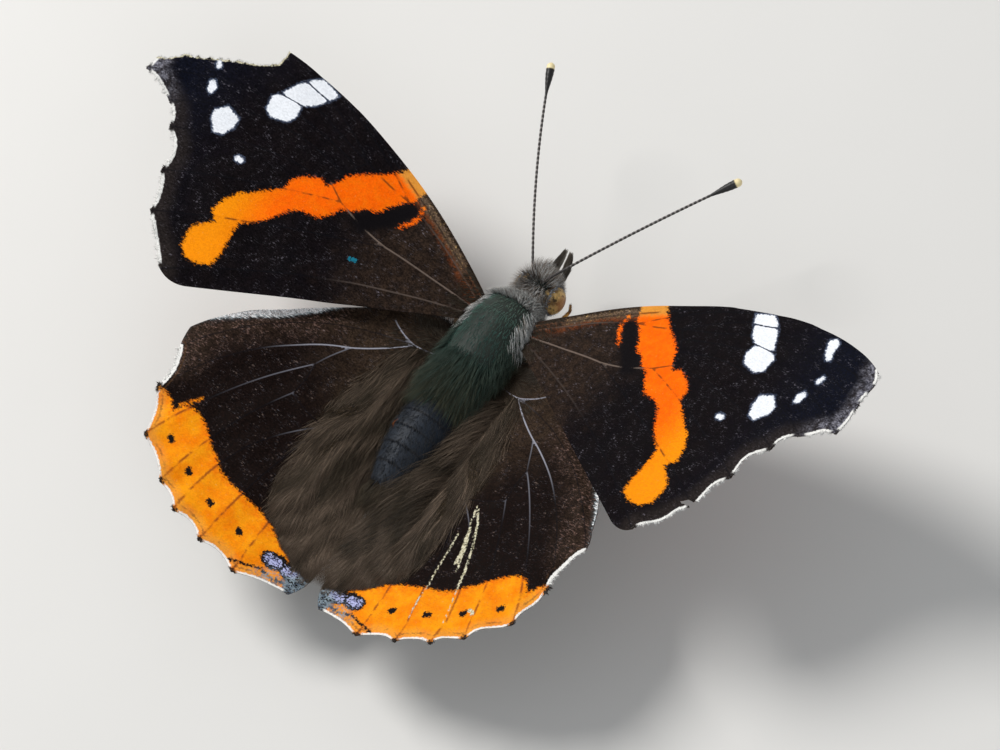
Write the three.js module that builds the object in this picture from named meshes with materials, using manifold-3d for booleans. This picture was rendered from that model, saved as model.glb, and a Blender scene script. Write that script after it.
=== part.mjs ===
import * as THREE from "three";
import * as BufferGeometryUtils from "three/addons/utils/BufferGeometryUtils.js";
import Module from "manifold-3d";

const wasm = await Module();
wasm.setup();

// A red admiral butterfly standing with its wings spread, life size, in millimetres.
// +X is the insect's right, +Y forwards and +Z up. Heights count from the forewing hinges.

// Driving dimensions
const GAP = 0.3; // clearance where one piece meets the next
const GROUND = -6.6; // level of the feet below the forewing hinges
const MEMBRANE_HALF = 0.25; // half the thickness of a wing between its veins
const RIDGE_AT_HINGE = 0.22; // how far a vein stands above the membrane at the hinge
const RIDGE_AT_MARGIN = 0.06; // and at the wing's edge
const RIDGE_SPAN = 27; // distance over which the ridges fall from the one to the other
const VEIN_HALF_WIDTH = 0.24;
const ROOT_HALF_WIDTH = 0.05; // where the veins run close together at the hinge
const WIDENING = { outwards: 0.03, along: 0.01 }; // growth of a vein's half width with distance
const NARROWEST_TURN = 0.3; // limits how far a sharp corner pushes a flank's foot inwards
const SHARE_OF_STRETCH = 0.8; // most of the shorter neighbouring stretch that a flank takes
const SHARE_OF_ROOM = 0.28; // and most of the clear distance across its cell
const VEIN_STEP = 2.5; // longest straight length along a vein or an edge
const SCALLOP_STEPS = 3; // straight lengths in each bay of the wing's outer edge
const ANTENNA_RADIUS = 0.26;
const CLUB_RADIUS = 0.43;
const CLUB_SWELL_END = 0.72; // share of a half wave that the club's swelling follows
const BODY_SIDES = 18;
const LIMB_SIDES = 7;
const EYE_SIDES = [14, 10]; // round and from top to bottom
const CUT_DEPTH = 6; // height of the prism that tears the wing's tip off
const GROUND_BLOCK = [60, 60, 4];

// Cross-sections of the body from rear to front: [y, half width, middle height, half height]
const THORAX = [
  [-3.9, 1.45, -0.35, 1.4],
  [-3.2, 1.95, -0.35, 1.95],
  [-1.8, 2.45, -0.3, 2.5],
  [0.3, 2.7, -0.3, 2.75],
  [2.3, 2.6, -0.35, 2.65],
  [3.8, 2.2, -0.55, 2.2],
  [4.9, 1.4, -0.95, 1.4],
];
const HEAD = [
  [5.2, 0.9, -1.2, 0.95],
  [5.6, 1.15, -1.3, 1.2],
  [6.5, 1.2, -1.45, 1.35],
  [7.4, 1.05, -1.5, 1.2],
  [8.0, 0.6, -1.6, 0.7],
];
const ABDOMEN = {
  front: -4.2,
  rear: -13.4,
  segments: 7,
  height: -0.35,
  droop: 0.35, // fall of the axis towards the rear
  groove: 0.07, // depth of the line between two segments, as a share of the width
  widths: [1.55, 2.0, 2.2, 2.2, 2.0, 1.65, 1.15, 0.5],
  flatness: 0.97, // height as a share of the width
};
const EYE = { at: [1.05, 6.3, -1.7], radii: [0.9, 1.05, 1.15] };
const PROBOSCIS = { at: [0, 7.7, -3.85], outer: 0.9, turns: 1.1, spacing: 0.78, radius: 0.25, steps: 14 };

// Wing hinges and how each wing is set, in degrees: lift raises the outer end, twist raises the
// front edge and sweep turns the wing forwards.
const FORE_HINGE = [1.8, 2.35, 0];
const HIND_HINGE = [1.8, -1.9, -1.0];
const WING_SETS = {
  forewing_left: { lift: 18.7, twist: 2.0, sweep: -0.9 },
  forewing_right: { lift: 19.4, twist: 1.4, sweep: -2.6 },
  hindwing_left: { lift: 15.4, twist: -0.6, sweep: 0 },
  hindwing_right: { lift: 16.2, twist: -1.5, sweep: 2.3 },
};
const WING_ARCH = 0.35; // rise of the middle of a wing above its flat plane

// A wing is drawn from its hinge, u outwards and v forwards. A line joins two named points, and its
// bow is the height of its arc to the left, as a share of its length.
const FOREWING = {
  span: 29,
  points: {
    costaRoot: [0.4, 1.1],
    subcostaRoot: [0.4, 0.7],
    radiusRoot: [0.4, 0.3],
    cubitusRoot: [0.4, -0.1],
    analRoot: [0.4, -0.5],
    rearRoot: [0.4, -0.9],
    subcostaEnd: [15.2, 7.2],
    radius1End: [18.6, 7.78],
    radius2End: [21.6, 8.1],
    radius3End: [26.5, 7.5],
    shoulder: [28.4, 6.8],
    radius4End: [29.05, 5.4],
    radius5End: [29.25, 3.8],
    media1End: [29.1, 1.45],
    media2End: [26.5, 0.4],
    media3End: [25.3, -1.2],
    cubitus1End: [23.95, -4.1],
    cubitus2End: [22.85, -7.0],
    analEnd: [19.8, -10.15],
    rearBend: [17.5, -10.05],
    radius1Fork: [8.6, 3.7],
    cellTop: [12.4, 4.4],
    cellUpper: [12.95, 3.7],
    cellMiddle: [13.4, 2.8],
    cellLow: [13.7, 1.7],
    radius3Fork: [18.6, 6.05],
    radius5Fork: [16.6, 5.5],
    cubitus1Fork: [12.4, 0.95],
    cubitus2Fork: [8.0, 0.0],
  },
  edges: [
    ["costaRoot", "subcostaEnd", 0.04],
    ["subcostaEnd", "radius1End", 0.02],
    ["radius1End", "radius2End", 0.02],
    ["radius2End", "radius3End", 0.03],
    ["radius3End", "shoulder", 0.04],
    ["shoulder", "radius4End", 0.1],
    ["radius4End", "radius5End", -0.04],
    ["radius5End", "media1End", -0.06],
    ["media1End", "media2End", -0.07],
    ["media2End", "media3End", -0.14],
    ["media3End", "cubitus1End", -0.19],
    ["cubitus1End", "cubitus2End", -0.1],
    ["cubitus2End", "analEnd", -0.02],
    ["analEnd", "rearBend", 0.13],
    ["rearBend", "rearRoot", 0],
    ["rearRoot", "analRoot", 0],
    ["analRoot", "cubitusRoot", 0],
    ["cubitusRoot", "radiusRoot", 0],
    ["radiusRoot", "subcostaRoot", 0],
    ["subcostaRoot", "costaRoot", 0],
  ],
  veins: [
    ["subcostaRoot", "subcostaEnd", 0.015],
    ["radiusRoot", "radius1Fork", 0.03],
    ["radius1Fork", "cellTop", -0.03],
    ["radius1Fork", "radius1End", 0.045],
    ["cellTop", "radius2End", 0.04],
    ["cellTop", "radius5Fork", -0.02],
    ["radius5Fork", "radius3Fork", 0],
    ["radius3Fork", "radius3End", 0.05],
    ["radius3Fork", "radius4End", 0.06],
    ["radius5Fork", "radius5End", 0.075],
    ["cellTop", "cellUpper", 0],
    ["cellUpper", "cellMiddle", 0],
    ["cellMiddle", "cellLow", 0],
    ["cellUpper", "media1End", 0.11],
    ["cellMiddle", "media2End", 0.11],
    ["cellLow", "media3End", 0.06],
    ["cubitusRoot", "cubitus2Fork", 0.01],
    ["cubitus2Fork", "cubitus1Fork", -0.03],
    ["cubitus1Fork", "cellLow", 0],
    ["cubitus1Fork", "cubitus1End", 0.02],
    ["cubitus2Fork", "cubitus2End", 0.015],
    ["analRoot", "analEnd", 0.045],
  ],
};
// Where the left forewing's tip is torn away, from the front edge to the outer edge
const TORN_EDGE = [
  [21.9, 9.5],
  [21.6, 7.9],
  [21.7, 6.9],
  [22.7, 6.2],
  [24.7, 5.15],
  [27.5, 3.8],
  [28.3, 3.0],
  [30.5, 1.6],
];
const BEYOND_TIP = [32, 10];
const HINDWING = {
  span: 20,
  points: {
    costaRoot: [0.5, 2.5],
    subcostaRoot: [0.5, 0.5],
    cubitusRoot: [0.5, -0.1],
    analRoot: [0.5, -0.7],
    innerRoot: [0.5, -1.3],
    shoulder: [4.1, 2.4],
    frontBend: [12.4, -3.65],
    media1End: [14.05, -16.1],
    media2End: [11.2, -18.25],
    media3End: [9.2, -19.5],
    cubitus1End: [6.55, -20.25],
    cubitus2End: [3.4, -20.8],
    analEnd: [-0.7, -19.9],
    innerBend: [-1.45, -17.8],
    innerMiddle: [-1.5, -12.0],
    humeralFork: [2.8, -0.15],
    humeralTip: [4.9, 0.6],
    radiusFork: [6.2, -2.85],
    mediaFork: [7.5, -5.3],
    media2Root: [7.5, -7.9],
    media3Root: [4.3, -8.7],
    cubitus2Fork: [2.5, -5.8],
  },
  edges: [
    ["costaRoot", "shoulder", 0.06],
    ["shoulder", "frontBend", 0.01],
    ["frontBend", "frontCorner", 0.06],
    ["frontCorner", "subcostaEnd", 0.04],
    ["subcostaEnd", "radiusEnd", -0.1],
    ["radiusEnd", "media1End", -0.06],
    ["media1End", "media2End", -0.05],
    ["media2End", "media3End", -0.1],
    ["media3End", "cubitus1End", -0.15],
    ["cubitus1End", "cubitus2End", -0.12],
    ["cubitus2End", "analEnd", -0.04],
    ["analEnd", "innerBend", 0.1],
    ["innerBend", "innerMiddle", 0.01],
    ["innerMiddle", "innerRoot", -0.02],
    ["innerRoot", "analRoot", 0],
    ["analRoot", "cubitusRoot", 0],
    ["cubitusRoot", "subcostaRoot", 0],
    ["subcostaRoot", "costaRoot", 0],
  ],
  veins: [
    ["subcostaRoot", "humeralFork", -0.05],
    ["humeralFork", "humeralTip", -0.05],
    ["humeralFork", "subcostaEnd", 0.1],
    ["humeralFork", "radiusFork", -0.03],
    ["radiusFork", "radiusEnd", 0.09],
    ["radiusFork", "mediaFork", 0.02],
    ["mediaFork", "media1End", 0.05],
    ["mediaFork", "media2Root", -0.05],
    ["media2Root", "media2End", 0.05],
    ["media2Root", "media3Root", 0.05],
    ["media3Root", "media3End", 0.12],
    ["media3Root", "cubitus1End", 0.03],
    ["cubitusRoot", "cubitus2Fork", 0.05],
    ["cubitus2Fork", "media3Root", 0.03],
    ["cubitus2Fork", "cubitus2End", 0.02],
    ["analRoot", "analEnd", 0.05],
  ],
};
// The outer front of each hindwing: spread out on the left, drawn in on the right
const HIND_CORNERS = {
  left: { frontCorner: [16.2, -7.8], subcostaEnd: [15.95, -9.4], radiusEnd: [15.4, -12.8] },
  right: { frontCorner: [14.75, -7.7], subcostaEnd: [15.35, -9.3], radiusEnd: [14.9, -13.0] },
};

// Paths of the limbs on the right side, as [x, y, z, radius] from the root to the tip
const MID_LEG = [
  [1.3, 1.6, -1.9, 0.5],
  [2.3, 2.2, -3.6, 0.5],
  [3.6, 2.6, -3.9, 0.42],
  [4.7, 2.9, -4.0, 0.38],
  [5.5, 3.0, -4.8, 0.33],
  [6.1, 3.1, GROUND + 0.6, 0.3],
  [6.4, 3.5, GROUND + 0.24, 0.28],
  [7.0, 5.1, GROUND + 0.22, 0.27],
  [7.1, 5.7, GROUND + 0.2, 0.25],
];
const HIND_LEG = [
  [1.3, -1.2, -1.9, 0.5],
  [2.2, -2.0, -3.6, 0.5],
  [4.0, -3.9, -4.0, 0.42],
  [4.9, -4.9, -4.1, 0.38],
  [5.8, -6.0, -5.0, 0.33],
  [6.5, -7.2, GROUND + 0.6, 0.3],
  [6.85, -7.9, GROUND + 0.24, 0.28],
  [7.6, -9.9, GROUND + 0.22, 0.27],
  [7.8, -10.5, GROUND + 0.2, 0.25],
];
const FORE_LEG = [
  [0.9, 4.0, -1.9, 0.36],
  [1.3, 5.0, -3.1, 0.36],
  [1.75, 6.0, -3.4, 0.32],
  [1.7, 6.9, -3.7, 0.28],
  [1.2, 7.6, -4.2, 0.25],
];
const PALP = [
  [0.5, 7.4, -2.1, 0.34],
  [0.52, 8.3, -2.2, 0.36],
  [0.52, 8.9, -2.0, 0.36],
  [0.44, 9.5, -1.7, 0.27],
  [0.33, 10.0, -1.4, 0.15],
];
const ANTENNA_ROOT = [0.6, 6.8, -0.1];
const ANTENNA_TIPS = { left: [8.0, 20.4, 2.5], right: [9.1, 19.0, 2.0] };
const ANTENNA_BOWS = { left: 0.42, right: -0.2 }; // how far an antenna's middle bends outwards
const CLUB_SHARE = 0.2; // share of the antenna's length that thickens into the club

// Colours
const COLOURS = {
  brown: [0x2b221c, 0.85],
  black: [0x15110f, 0.8],
  fur: [0x3a3a30, 0.95],
  grey: [0x3f4448, 0.85],
  eye: [0x7a4d22, 0.35],
  limb: [0x6b5a3c, 0.7],
};

function finish(colour) {
  const [color, roughness] = COLOURS[colour];
  return new THREE.MeshStandardMaterial({ color, roughness, metalness: 0 });
}

// Closes a row of rings, each with the same number of points, into one solid with flat ends.
function skinRings(rings) {
  const sides = rings[0].length;
  const positions = rings.flat().flatMap((p) => [p.x, p.y, p.z]);
  const index = [];
  for (let r = 0; r + 1 < rings.length; r += 1) {
    for (let s = 0; s < sides; s += 1) {
      const a = r * sides + s;
      const b = r * sides + ((s + 1) % sides);
      index.push(a, b, b + sides, a, b + sides, a + sides);
    }
  }
  for (const r of [0, rings.length - 1]) {
    const centre = new THREE.Vector3();
    rings[r].forEach((p) => centre.addScaledVector(p, 1 / sides));
    const hub = positions.length / 3;
    positions.push(centre.x, centre.y, centre.z);
    for (let s = 0; s < sides; s += 1) {
      const a = r * sides + s;
      const b = r * sides + ((s + 1) % sides);
      if (r === 0) index.push(hub, b, a);
      else index.push(hub, a, b);
    }
  }
  const geometry = new THREE.BufferGeometry();
  geometry.setAttribute("position", new THREE.Float32BufferAttribute(positions, 3));
  geometry.setIndex(index);
  return geometry;
}

// One oval cross-section of the body, at right angles to its length.
function bodyRing([y, halfWidth, height, halfHeight], grow = 0) {
  const ring = [];
  for (let s = 0; s < BODY_SIDES; s += 1) {
    const angle = (-2 * Math.PI * s) / BODY_SIDES;
    const x = (halfWidth + grow) * Math.cos(angle);
    const z = height + (halfHeight + grow) * Math.sin(angle);
    ring.push(new THREE.Vector3(x, y, z));
  }
  return ring;
}

// The body's form through its cross-sections, or grown all round by a clearance.
function bodyForm(sections, grow = 0) {
  const rings = sections.map((section) => bodyRing(section, grow));
  rings[0].forEach((p) => (p.y -= grow));
  rings.at(-1).forEach((p) => (p.y += grow));
  return skinRings(rings);
}

function abdomenSections() {
  const { front, rear, segments, height, droop, groove, widths, flatness } = ABDOMEN;
  const sections = [];
  const parts = 2 * segments;
  for (let k = 0; k <= parts; k += 1) {
    const t = k / parts;
    const place = t * (widths.length - 1);
    const i = Math.min(Math.floor(place), widths.length - 2);
    const smooth = THREE.MathUtils.lerp(widths[i], widths[i + 1], place - i);
    const width = k % 2 === 0 && k > 0 && k < parts ? smooth * (1 - groove) : smooth;
    sections.push([THREE.MathUtils.lerp(front, rear, t), width, height - droop * t * t, width * flatness]);
  }
  return sections.reverse();
}

// A limb of round section along a path of [x, y, z, radius], on either side of the body.
function limb(path, side, up = new THREE.Vector3(0, 0, 1)) {
  const points = path.map(([x, y, z]) => new THREE.Vector3(side * x, y, z));
  const rings = points.map((p, i) => {
    const ahead = points[Math.min(i + 1, points.length - 1)];
    const behind = points[Math.max(i - 1, 0)];
    const along = ahead.clone().sub(behind).normalize();
    const across = along.clone().cross(up).normalize();
    const over = across.clone().cross(along);
    const ring = [];
    for (let s = 0; s < LIMB_SIDES; s += 1) {
      const angle = (-2 * Math.PI * s) / LIMB_SIDES - Math.PI / 2;
      const spoke = across.clone().multiplyScalar(Math.cos(angle)).addScaledVector(over, Math.sin(angle));
      ring.push(p.clone().addScaledVector(spoke, path[i][3]));
    }
    return ring;
  });
  return skinRings(rings);
}

// The antenna's path: a thin shaft, bowed outwards a little, that thickens into a club.
function antennaPath(tip, outwards) {
  const [x0, y0, z0] = ANTENNA_ROOT;
  const stops = [0, 0.2, 0.4, 0.6, 1 - CLUB_SHARE, 1 - 0.55 * CLUB_SHARE, 1 - 0.2 * CLUB_SHARE, 1];
  return stops.map((t) => {
    const bow = 4 * outwards * t * (1 - t);
    const inClub = Math.max(0, (t - 1 + CLUB_SHARE) / CLUB_SHARE);
    const swell = Math.sin(inClub * Math.PI * CLUB_SWELL_END);
    const radius = ANTENNA_RADIUS + (CLUB_RADIUS - ANTENNA_RADIUS) * swell;
    return [x0 + (tip[0] - x0) * t + bow, y0 + (tip[1] - y0) * t, z0 + (tip[2] - z0) * t, radius];
  });
}

// The rolled proboscis under the head, a spiral in the insect's middle plane.
function coilPath() {
  const { at, outer, turns, spacing, radius, steps } = PROBOSCIS;
  return Array.from({ length: steps + 1 }, (_, k) => {
    const angle = (k / steps) * turns * 2 * Math.PI;
    const reach = outer - (spacing * angle) / (2 * Math.PI);
    return [at[0], at[1] - reach * Math.sin(angle), at[2] + reach * Math.cos(angle), radius];
  });
}

// The wing's lines as one flat net: its points, and which points each one is joined to.
function wingNet(design) {
  const places = [];
  const joined = [];
  const known = new Map();
  const placeAt = (u, v) => {
    const key = `${u.toFixed(4)},${v.toFixed(4)}`;
    if (!known.has(key)) {
      known.set(key, places.length);
      places.push({ u, v, vein: false });
      joined.push(new Set());
    }
    return known.get(key);
  };
  const draw = ([from, to, bow], shortest, onVein) => {
    const [u0, v0] = design.points[from];
    const [u1, v1] = design.points[to];
    const chord = Math.hypot(u1 - u0, v1 - v0);
    const steps = Math.max(shortest, Math.round(chord / VEIN_STEP), 1);
    let last = -1;
    for (let k = 0; k <= steps; k += 1) {
      const t = k / steps;
      const rise = 4 * bow * t * (1 - t);
      const here = placeAt(u0 + (u1 - u0) * t - (v1 - v0) * rise, v0 + (v1 - v0) * t + (u1 - u0) * rise);
      if (onVein) places[here].vein = true;
      if (last >= 0) {
        joined[last].add(here);
        joined[here].add(last);
      }
      last = here;
    }
  };
  design.edges.forEach((line) => draw(line, Math.abs(line[2]) > 0.05 ? SCALLOP_STEPS : 1, false));
  design.veins.forEach((line) => draw(line, 1, true));
  return { places, joined };
}

// The cells that the lines enclose, each as the indices round it, anticlockwise.
function wingCells({ places, joined }) {
  const heading = (a, b) => Math.atan2(places[b].v - places[a].v, places[b].u - places[a].u);
  const around = joined.map((set, i) => [...set].sort((a, b) => heading(i, a) - heading(i, b)));
  const walked = new Set();
  const cells = [];
  let rim = [];
  joined.forEach((set, start) => {
    set.forEach((second) => {
      if (walked.has(`${start}>${second}`)) return;
      const loop = [];
      let [a, b] = [start, second];
      let area = 0;
      while (!walked.has(`${a}>${b}`)) {
        walked.add(`${a}>${b}`);
        loop.push(a);
        area += places[a].u * places[b].v - places[b].u * places[a].v;
        const turn = around[b];
        const next = turn[(turn.indexOf(a) + turn.length - 1) % turn.length];
        [a, b] = [b, next];
      }
      if (area > 0) cells.push(loop);
      else rim = loop;
    });
  });
  return { cells, rim };
}

// Clear distance from a corner of a cell to the cell's far side.
function room(loop, i, direction) {
  const n = loop.length;
  const p = loop[i];
  let nearest = Infinity;
  for (let k = 0; k < n; k += 1) {
    const a = loop[k];
    const b = loop[(k + 1) % n];
    if (a === p || b === p) continue;
    const edge = b.clone().sub(a);
    const cross = direction.cross(edge);
    if (Math.abs(cross) < 1e-9) continue;
    const offset = a.clone().sub(p);
    const reach = offset.cross(edge) / cross;
    const share = offset.cross(direction) / cross;
    if (reach > 1e-6 && share >= 0 && share <= 1) nearest = Math.min(nearest, reach);
  }
  return nearest;
}

// The foot of a vein's flank inside a cell, for each corner of the cell.
function flankFeet(loop) {
  const n = loop.length;
  return loop.map((p, i) => {
    const before = loop[(i + n - 1) % n];
    const after = loop[(i + 1) % n];
    const into = p.clone().sub(before);
    const out = after.clone().sub(p);
    const reach = Math.min(into.length(), out.length());
    into.normalize();
    out.normalize();
    const inward = new THREE.Vector2(-into.y - out.y, into.x + out.x);
    const spread = inward.length() / 2;
    const direction = spread > 0.05 ? inward.normalize() : into;
    const grown = ROOT_HALF_WIDTH + WIDENING.outwards * Math.abs(p.x) + WIDENING.along * Math.abs(p.y);
    const width = Math.min(VEIN_HALF_WIDTH, grown) / Math.max(spread, NARROWEST_TURN);
    const clear = SHARE_OF_ROOM * room(loop, i, direction);
    return p.clone().addScaledVector(direction, Math.min(width, SHARE_OF_STRETCH * reach, clear));
  });
}

// A wing as one solid: flat cells between raised veins, alike on both faces, gently arched.
function wingForm(design) {
  const { places, joined } = wingNet(design);
  const { cells, rim } = wingCells({ places, joined });
  const positions = [];
  const index = [];
  const arch = (u, v) => WING_ARCH * Math.sin(Math.PI * Math.min(Math.hypot(u, v) / design.span, 1));
  // Each place is two points, one on the upper face and the next on the lower one.
  const addPlace = (u, v, half) => {
    const middle = arch(u, v);
    positions.push(u, v, middle + half, u, v, middle - half);
    return positions.length / 3 - 2;
  };
  const addTriangle = (a, b, c) => index.push(a, b, c, a + 1, c + 1, b + 1);
  const ridge = places.map(({ u, v, vein }) => {
    const t = Math.min(Math.hypot(u, v) / RIDGE_SPAN, 1);
    const rise = vein ? THREE.MathUtils.lerp(RIDGE_AT_HINGE, RIDGE_AT_MARGIN, t) : 0;
    return addPlace(u, v, MEMBRANE_HALF + rise);
  });
  for (const cell of cells) {
    const feet = flankFeet(cell.map((i) => new THREE.Vector2(places[i].u, places[i].v)));
    const floor = feet.map((p) => addPlace(p.x, p.y, MEMBRANE_HALF));
    const n = cell.length;
    for (let i = 0; i < n; i += 1) {
      const j = (i + 1) % n;
      addTriangle(ridge[cell[i]], ridge[cell[j]], floor[j]);
      addTriangle(ridge[cell[i]], floor[j], floor[i]);
    }
    for (const [a, b, c] of THREE.ShapeUtils.triangulateShape(feet, [])) {
      addTriangle(floor[a], floor[b], floor[c]);
    }
  }
  rim.forEach((a, i) => {
    const b = rim[(i + 1) % rim.length];
    const [p, q] = [ridge[a], ridge[b]];
    index.push(p, q, q + 1, p, q + 1, p + 1);
  });
  const geometry = new THREE.BufferGeometry();
  geometry.setAttribute("position", new THREE.Float32BufferAttribute(positions, 3));
  geometry.setIndex(index);
  return geometry;
}

// The part of a forewing outside its torn edge, as a prism to cut away.
function tornTip() {
  const outline = [...TORN_EDGE, BEYOND_TIP].map(([u, v]) => new THREE.Vector2(u, v));
  const shape = new THREE.Shape(outline);
  const prism = new THREE.ExtrudeGeometry(shape, { depth: CUT_DEPTH, bevelEnabled: false });
  prism.translate(0, 0, -CUT_DEPTH / 2);
  return prism;
}

// Sets a wing on its hinge; the left wing is the right one's mirror image.
function setWing(geometry, hinge, { lift, twist, sweep }, side) {
  const turn = new THREE.Euler(
    THREE.MathUtils.degToRad(twist),
    THREE.MathUtils.degToRad(-lift),
    THREE.MathUtils.degToRad(sweep),
    "YXZ",
  );
  geometry.applyMatrix4(new THREE.Matrix4().makeRotationFromEuler(turn).setPosition(...hinge));
  return side < 0 ? mirrored(geometry) : geometry;
}

function mirrored(geometry) {
  geometry.scale(-1, 1, 1);
  const { array } = geometry.getIndex();
  for (let i = 0; i < array.length; i += 3) {
    [array[i + 1], array[i + 2]] = [array[i + 2], array[i + 1]];
  }
  return geometry;
}

function toSolid(geometry) {
  const bare = geometry.clone();
  bare.deleteAttribute("normal");
  bare.deleteAttribute("uv");
  const merged = BufferGeometryUtils.mergeVertices(bare, 1e-4);
  const vertProperties = new Float32Array(merged.getAttribute("position").array);
  const triVerts = new Uint32Array(merged.getIndex().array);
  return new wasm.Manifold(new wasm.Mesh({ numProp: 3, vertProperties, triVerts }));
}

// The largest closed surface of a solid, as a three.js geometry.
function toGeometry(solid) {
  const pieces = solid.decompose().sort((a, b) => b.volume() - a.volume());
  const mesh = pieces[0].getMesh();
  const geometry = new THREE.BufferGeometry();
  geometry.setAttribute("position", new THREE.Float32BufferAttribute(mesh.vertProperties, 3));
  geometry.setIndex(Array.from(mesh.triVerts));
  return geometry;
}

function cutBack(geometry, ...cutters) {
  let solid = toSolid(geometry);
  for (const cutter of cutters) solid = solid.subtract(cutter);
  return toGeometry(solid);
}

function ellipsoid([x, y, z], [rx, ry, rz]) {
  const ball = new THREE.SphereGeometry(1, ...EYE_SIDES);
  ball.scale(rx, ry, rz);
  ball.translate(x, y, z);
  return ball;
}

const butterfly = new THREE.Group();

function add(name, geometry, colour) {
  const mesh = new THREE.Mesh(geometry, finish(colour));
  mesh.name = name;
  mesh.geometry.computeVertexNormals();
  butterfly.add(mesh);
}

// What the other pieces are cut back from, to leave the clearance at each joint
const roundThorax = toSolid(bodyForm(THORAX, GAP));
const roundHead = toSolid(bodyForm(HEAD, GAP));
const abdomen = abdomenSections();
const roundAbdomen = toSolid(bodyForm(abdomen, GAP));
const ground = new THREE.BoxGeometry(...GROUND_BLOCK);
ground.translate(0, 0, GROUND - GROUND_BLOCK[2] / 2);
const underGround = toSolid(ground);
const torn = toSolid(tornTip());

add("thorax", bodyForm(THORAX), "fur");
add("head", bodyForm(HEAD), "fur");
add("abdomen", bodyForm(abdomen), "grey");

add("proboscis", cutBack(limb(coilPath(), 1, new THREE.Vector3(1, 0, 0)), roundHead), "brown");

for (const [word, side] of [["left", -1], ["right", 1]]) {
  const [eyeX, eyeY, eyeZ] = EYE.at;
  add(`eye_${word}`, cutBack(ellipsoid([side * eyeX, eyeY, eyeZ], EYE.radii), roundHead), "eye");
  add(`palp_${word}`, cutBack(limb(PALP, side), roundHead), "fur");
  const antenna = limb(antennaPath(ANTENNA_TIPS[word], ANTENNA_BOWS[word]), side);
  add(`antenna_${word}`, cutBack(antenna, roundHead), "black");
  add(`foreleg_${word}`, cutBack(limb(FORE_LEG, side), roundThorax, roundHead), "limb");
  add(`midleg_${word}`, cutBack(limb(MID_LEG, side), roundThorax, underGround), "limb");
  add(`hindleg_${word}`, cutBack(limb(HIND_LEG, side), roundThorax, underGround), "limb");

  const forewing = wingForm(FOREWING);
  const foreSheet = side < 0 ? cutBack(forewing, torn) : forewing;
  const foreSet = setWing(foreSheet, FORE_HINGE, WING_SETS[`forewing_${word}`], side);
  add(`forewing_${word}`, cutBack(foreSet, roundThorax), "brown");
  const hindwing = { ...HINDWING, points: { ...HINDWING.points, ...HIND_CORNERS[word] } };
  const hindSet = setWing(wingForm(hindwing), HIND_HINGE, WING_SETS[`hindwing_${word}`], side);
  add(`hindwing_${word}`, cutBack(hindSet, roundThorax, roundAbdomen), "brown");
}

// Stands the insect on the ground plane, with the origin under the middle of its extent.
butterfly.updateMatrixWorld(true);
const extent = new THREE.Box3().setFromObject(butterfly);
const middle = extent.getCenter(new THREE.Vector3());
butterfly.position.set(-middle.x, -middle.y, -extent.min.z);

export default butterfly;
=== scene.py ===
import math

import bpy
import numpy as np
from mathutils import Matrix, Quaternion, Vector
from mathutils.geometry import delaunay_2d_cdt


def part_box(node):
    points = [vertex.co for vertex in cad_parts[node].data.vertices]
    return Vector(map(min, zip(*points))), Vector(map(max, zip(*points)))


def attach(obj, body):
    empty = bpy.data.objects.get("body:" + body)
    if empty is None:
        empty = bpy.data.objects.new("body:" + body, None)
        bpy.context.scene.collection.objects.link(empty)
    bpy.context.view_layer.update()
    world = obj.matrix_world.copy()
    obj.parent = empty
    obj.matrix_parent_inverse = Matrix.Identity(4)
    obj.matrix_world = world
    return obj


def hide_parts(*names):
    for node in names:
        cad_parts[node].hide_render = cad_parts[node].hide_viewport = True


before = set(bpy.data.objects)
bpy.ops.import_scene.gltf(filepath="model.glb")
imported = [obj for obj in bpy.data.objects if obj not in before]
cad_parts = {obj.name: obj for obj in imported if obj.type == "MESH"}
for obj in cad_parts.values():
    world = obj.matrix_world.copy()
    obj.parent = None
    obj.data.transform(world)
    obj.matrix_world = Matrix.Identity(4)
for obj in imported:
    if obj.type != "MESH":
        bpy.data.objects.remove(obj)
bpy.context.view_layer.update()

# A red admiral butterfly standing with its wings spread. Shapes are written in millimetres, counted
# from the middle between the forewing hinges: +X the insect's right, +Y forwards, +Z up.
MM = 0.001
THORAX_REAR = 3.9
THORAX_DEPTH = 3.05
thorax_low, thorax_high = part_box("thorax")
HINGE_LINE = np.array([
    (thorax_low.x + thorax_high.x) / 2,
    thorax_low.y + THORAX_REAR * MM,
    thorax_low.z + THORAX_DEPTH * MM,
])
GROUND = -HINGE_LINE[2] / MM
SIDES = (("left", -1), ("right", 1))
rng = np.random.default_rng(7)

# The camera, by what it sees: 14.6 pixels to a millimetre at the hinges, from 372 mm away
CAMERA_AZIMUTH = 53.5
CAMERA_HEIGHT = 57.6
CAMERA_ROLL = -21.0
CAMERA_DISTANCE = 372.0
PIXELS_PER_MM = 14.634
PHOTO_WIDTH = 1000
HINGE_PIXEL = (482.9, 349.8)
PHOTO_MIDDLE = (500, 375)
SENSOR = 36.0
CLIP = (0.01, 10)

# The lamps: where they stand and how wide they are in metres, their power and their colour
LAMP_AIM = (0, 0, 0.01)
LAMPS = {
    "key": ((-0.25, 0.02, 0.33), 0.18, 1.46, (1.0, 0.985, 0.96)),
    "fill": ((0.3, -0.25, 0.3), 0.35, 0.5, (0.94, 0.97, 1.0)),
}
SKY = (0.94, 0.97, 1.0, 1)
SKY_STRENGTH = 0.36
FLOOR_SIZE = 3

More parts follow.
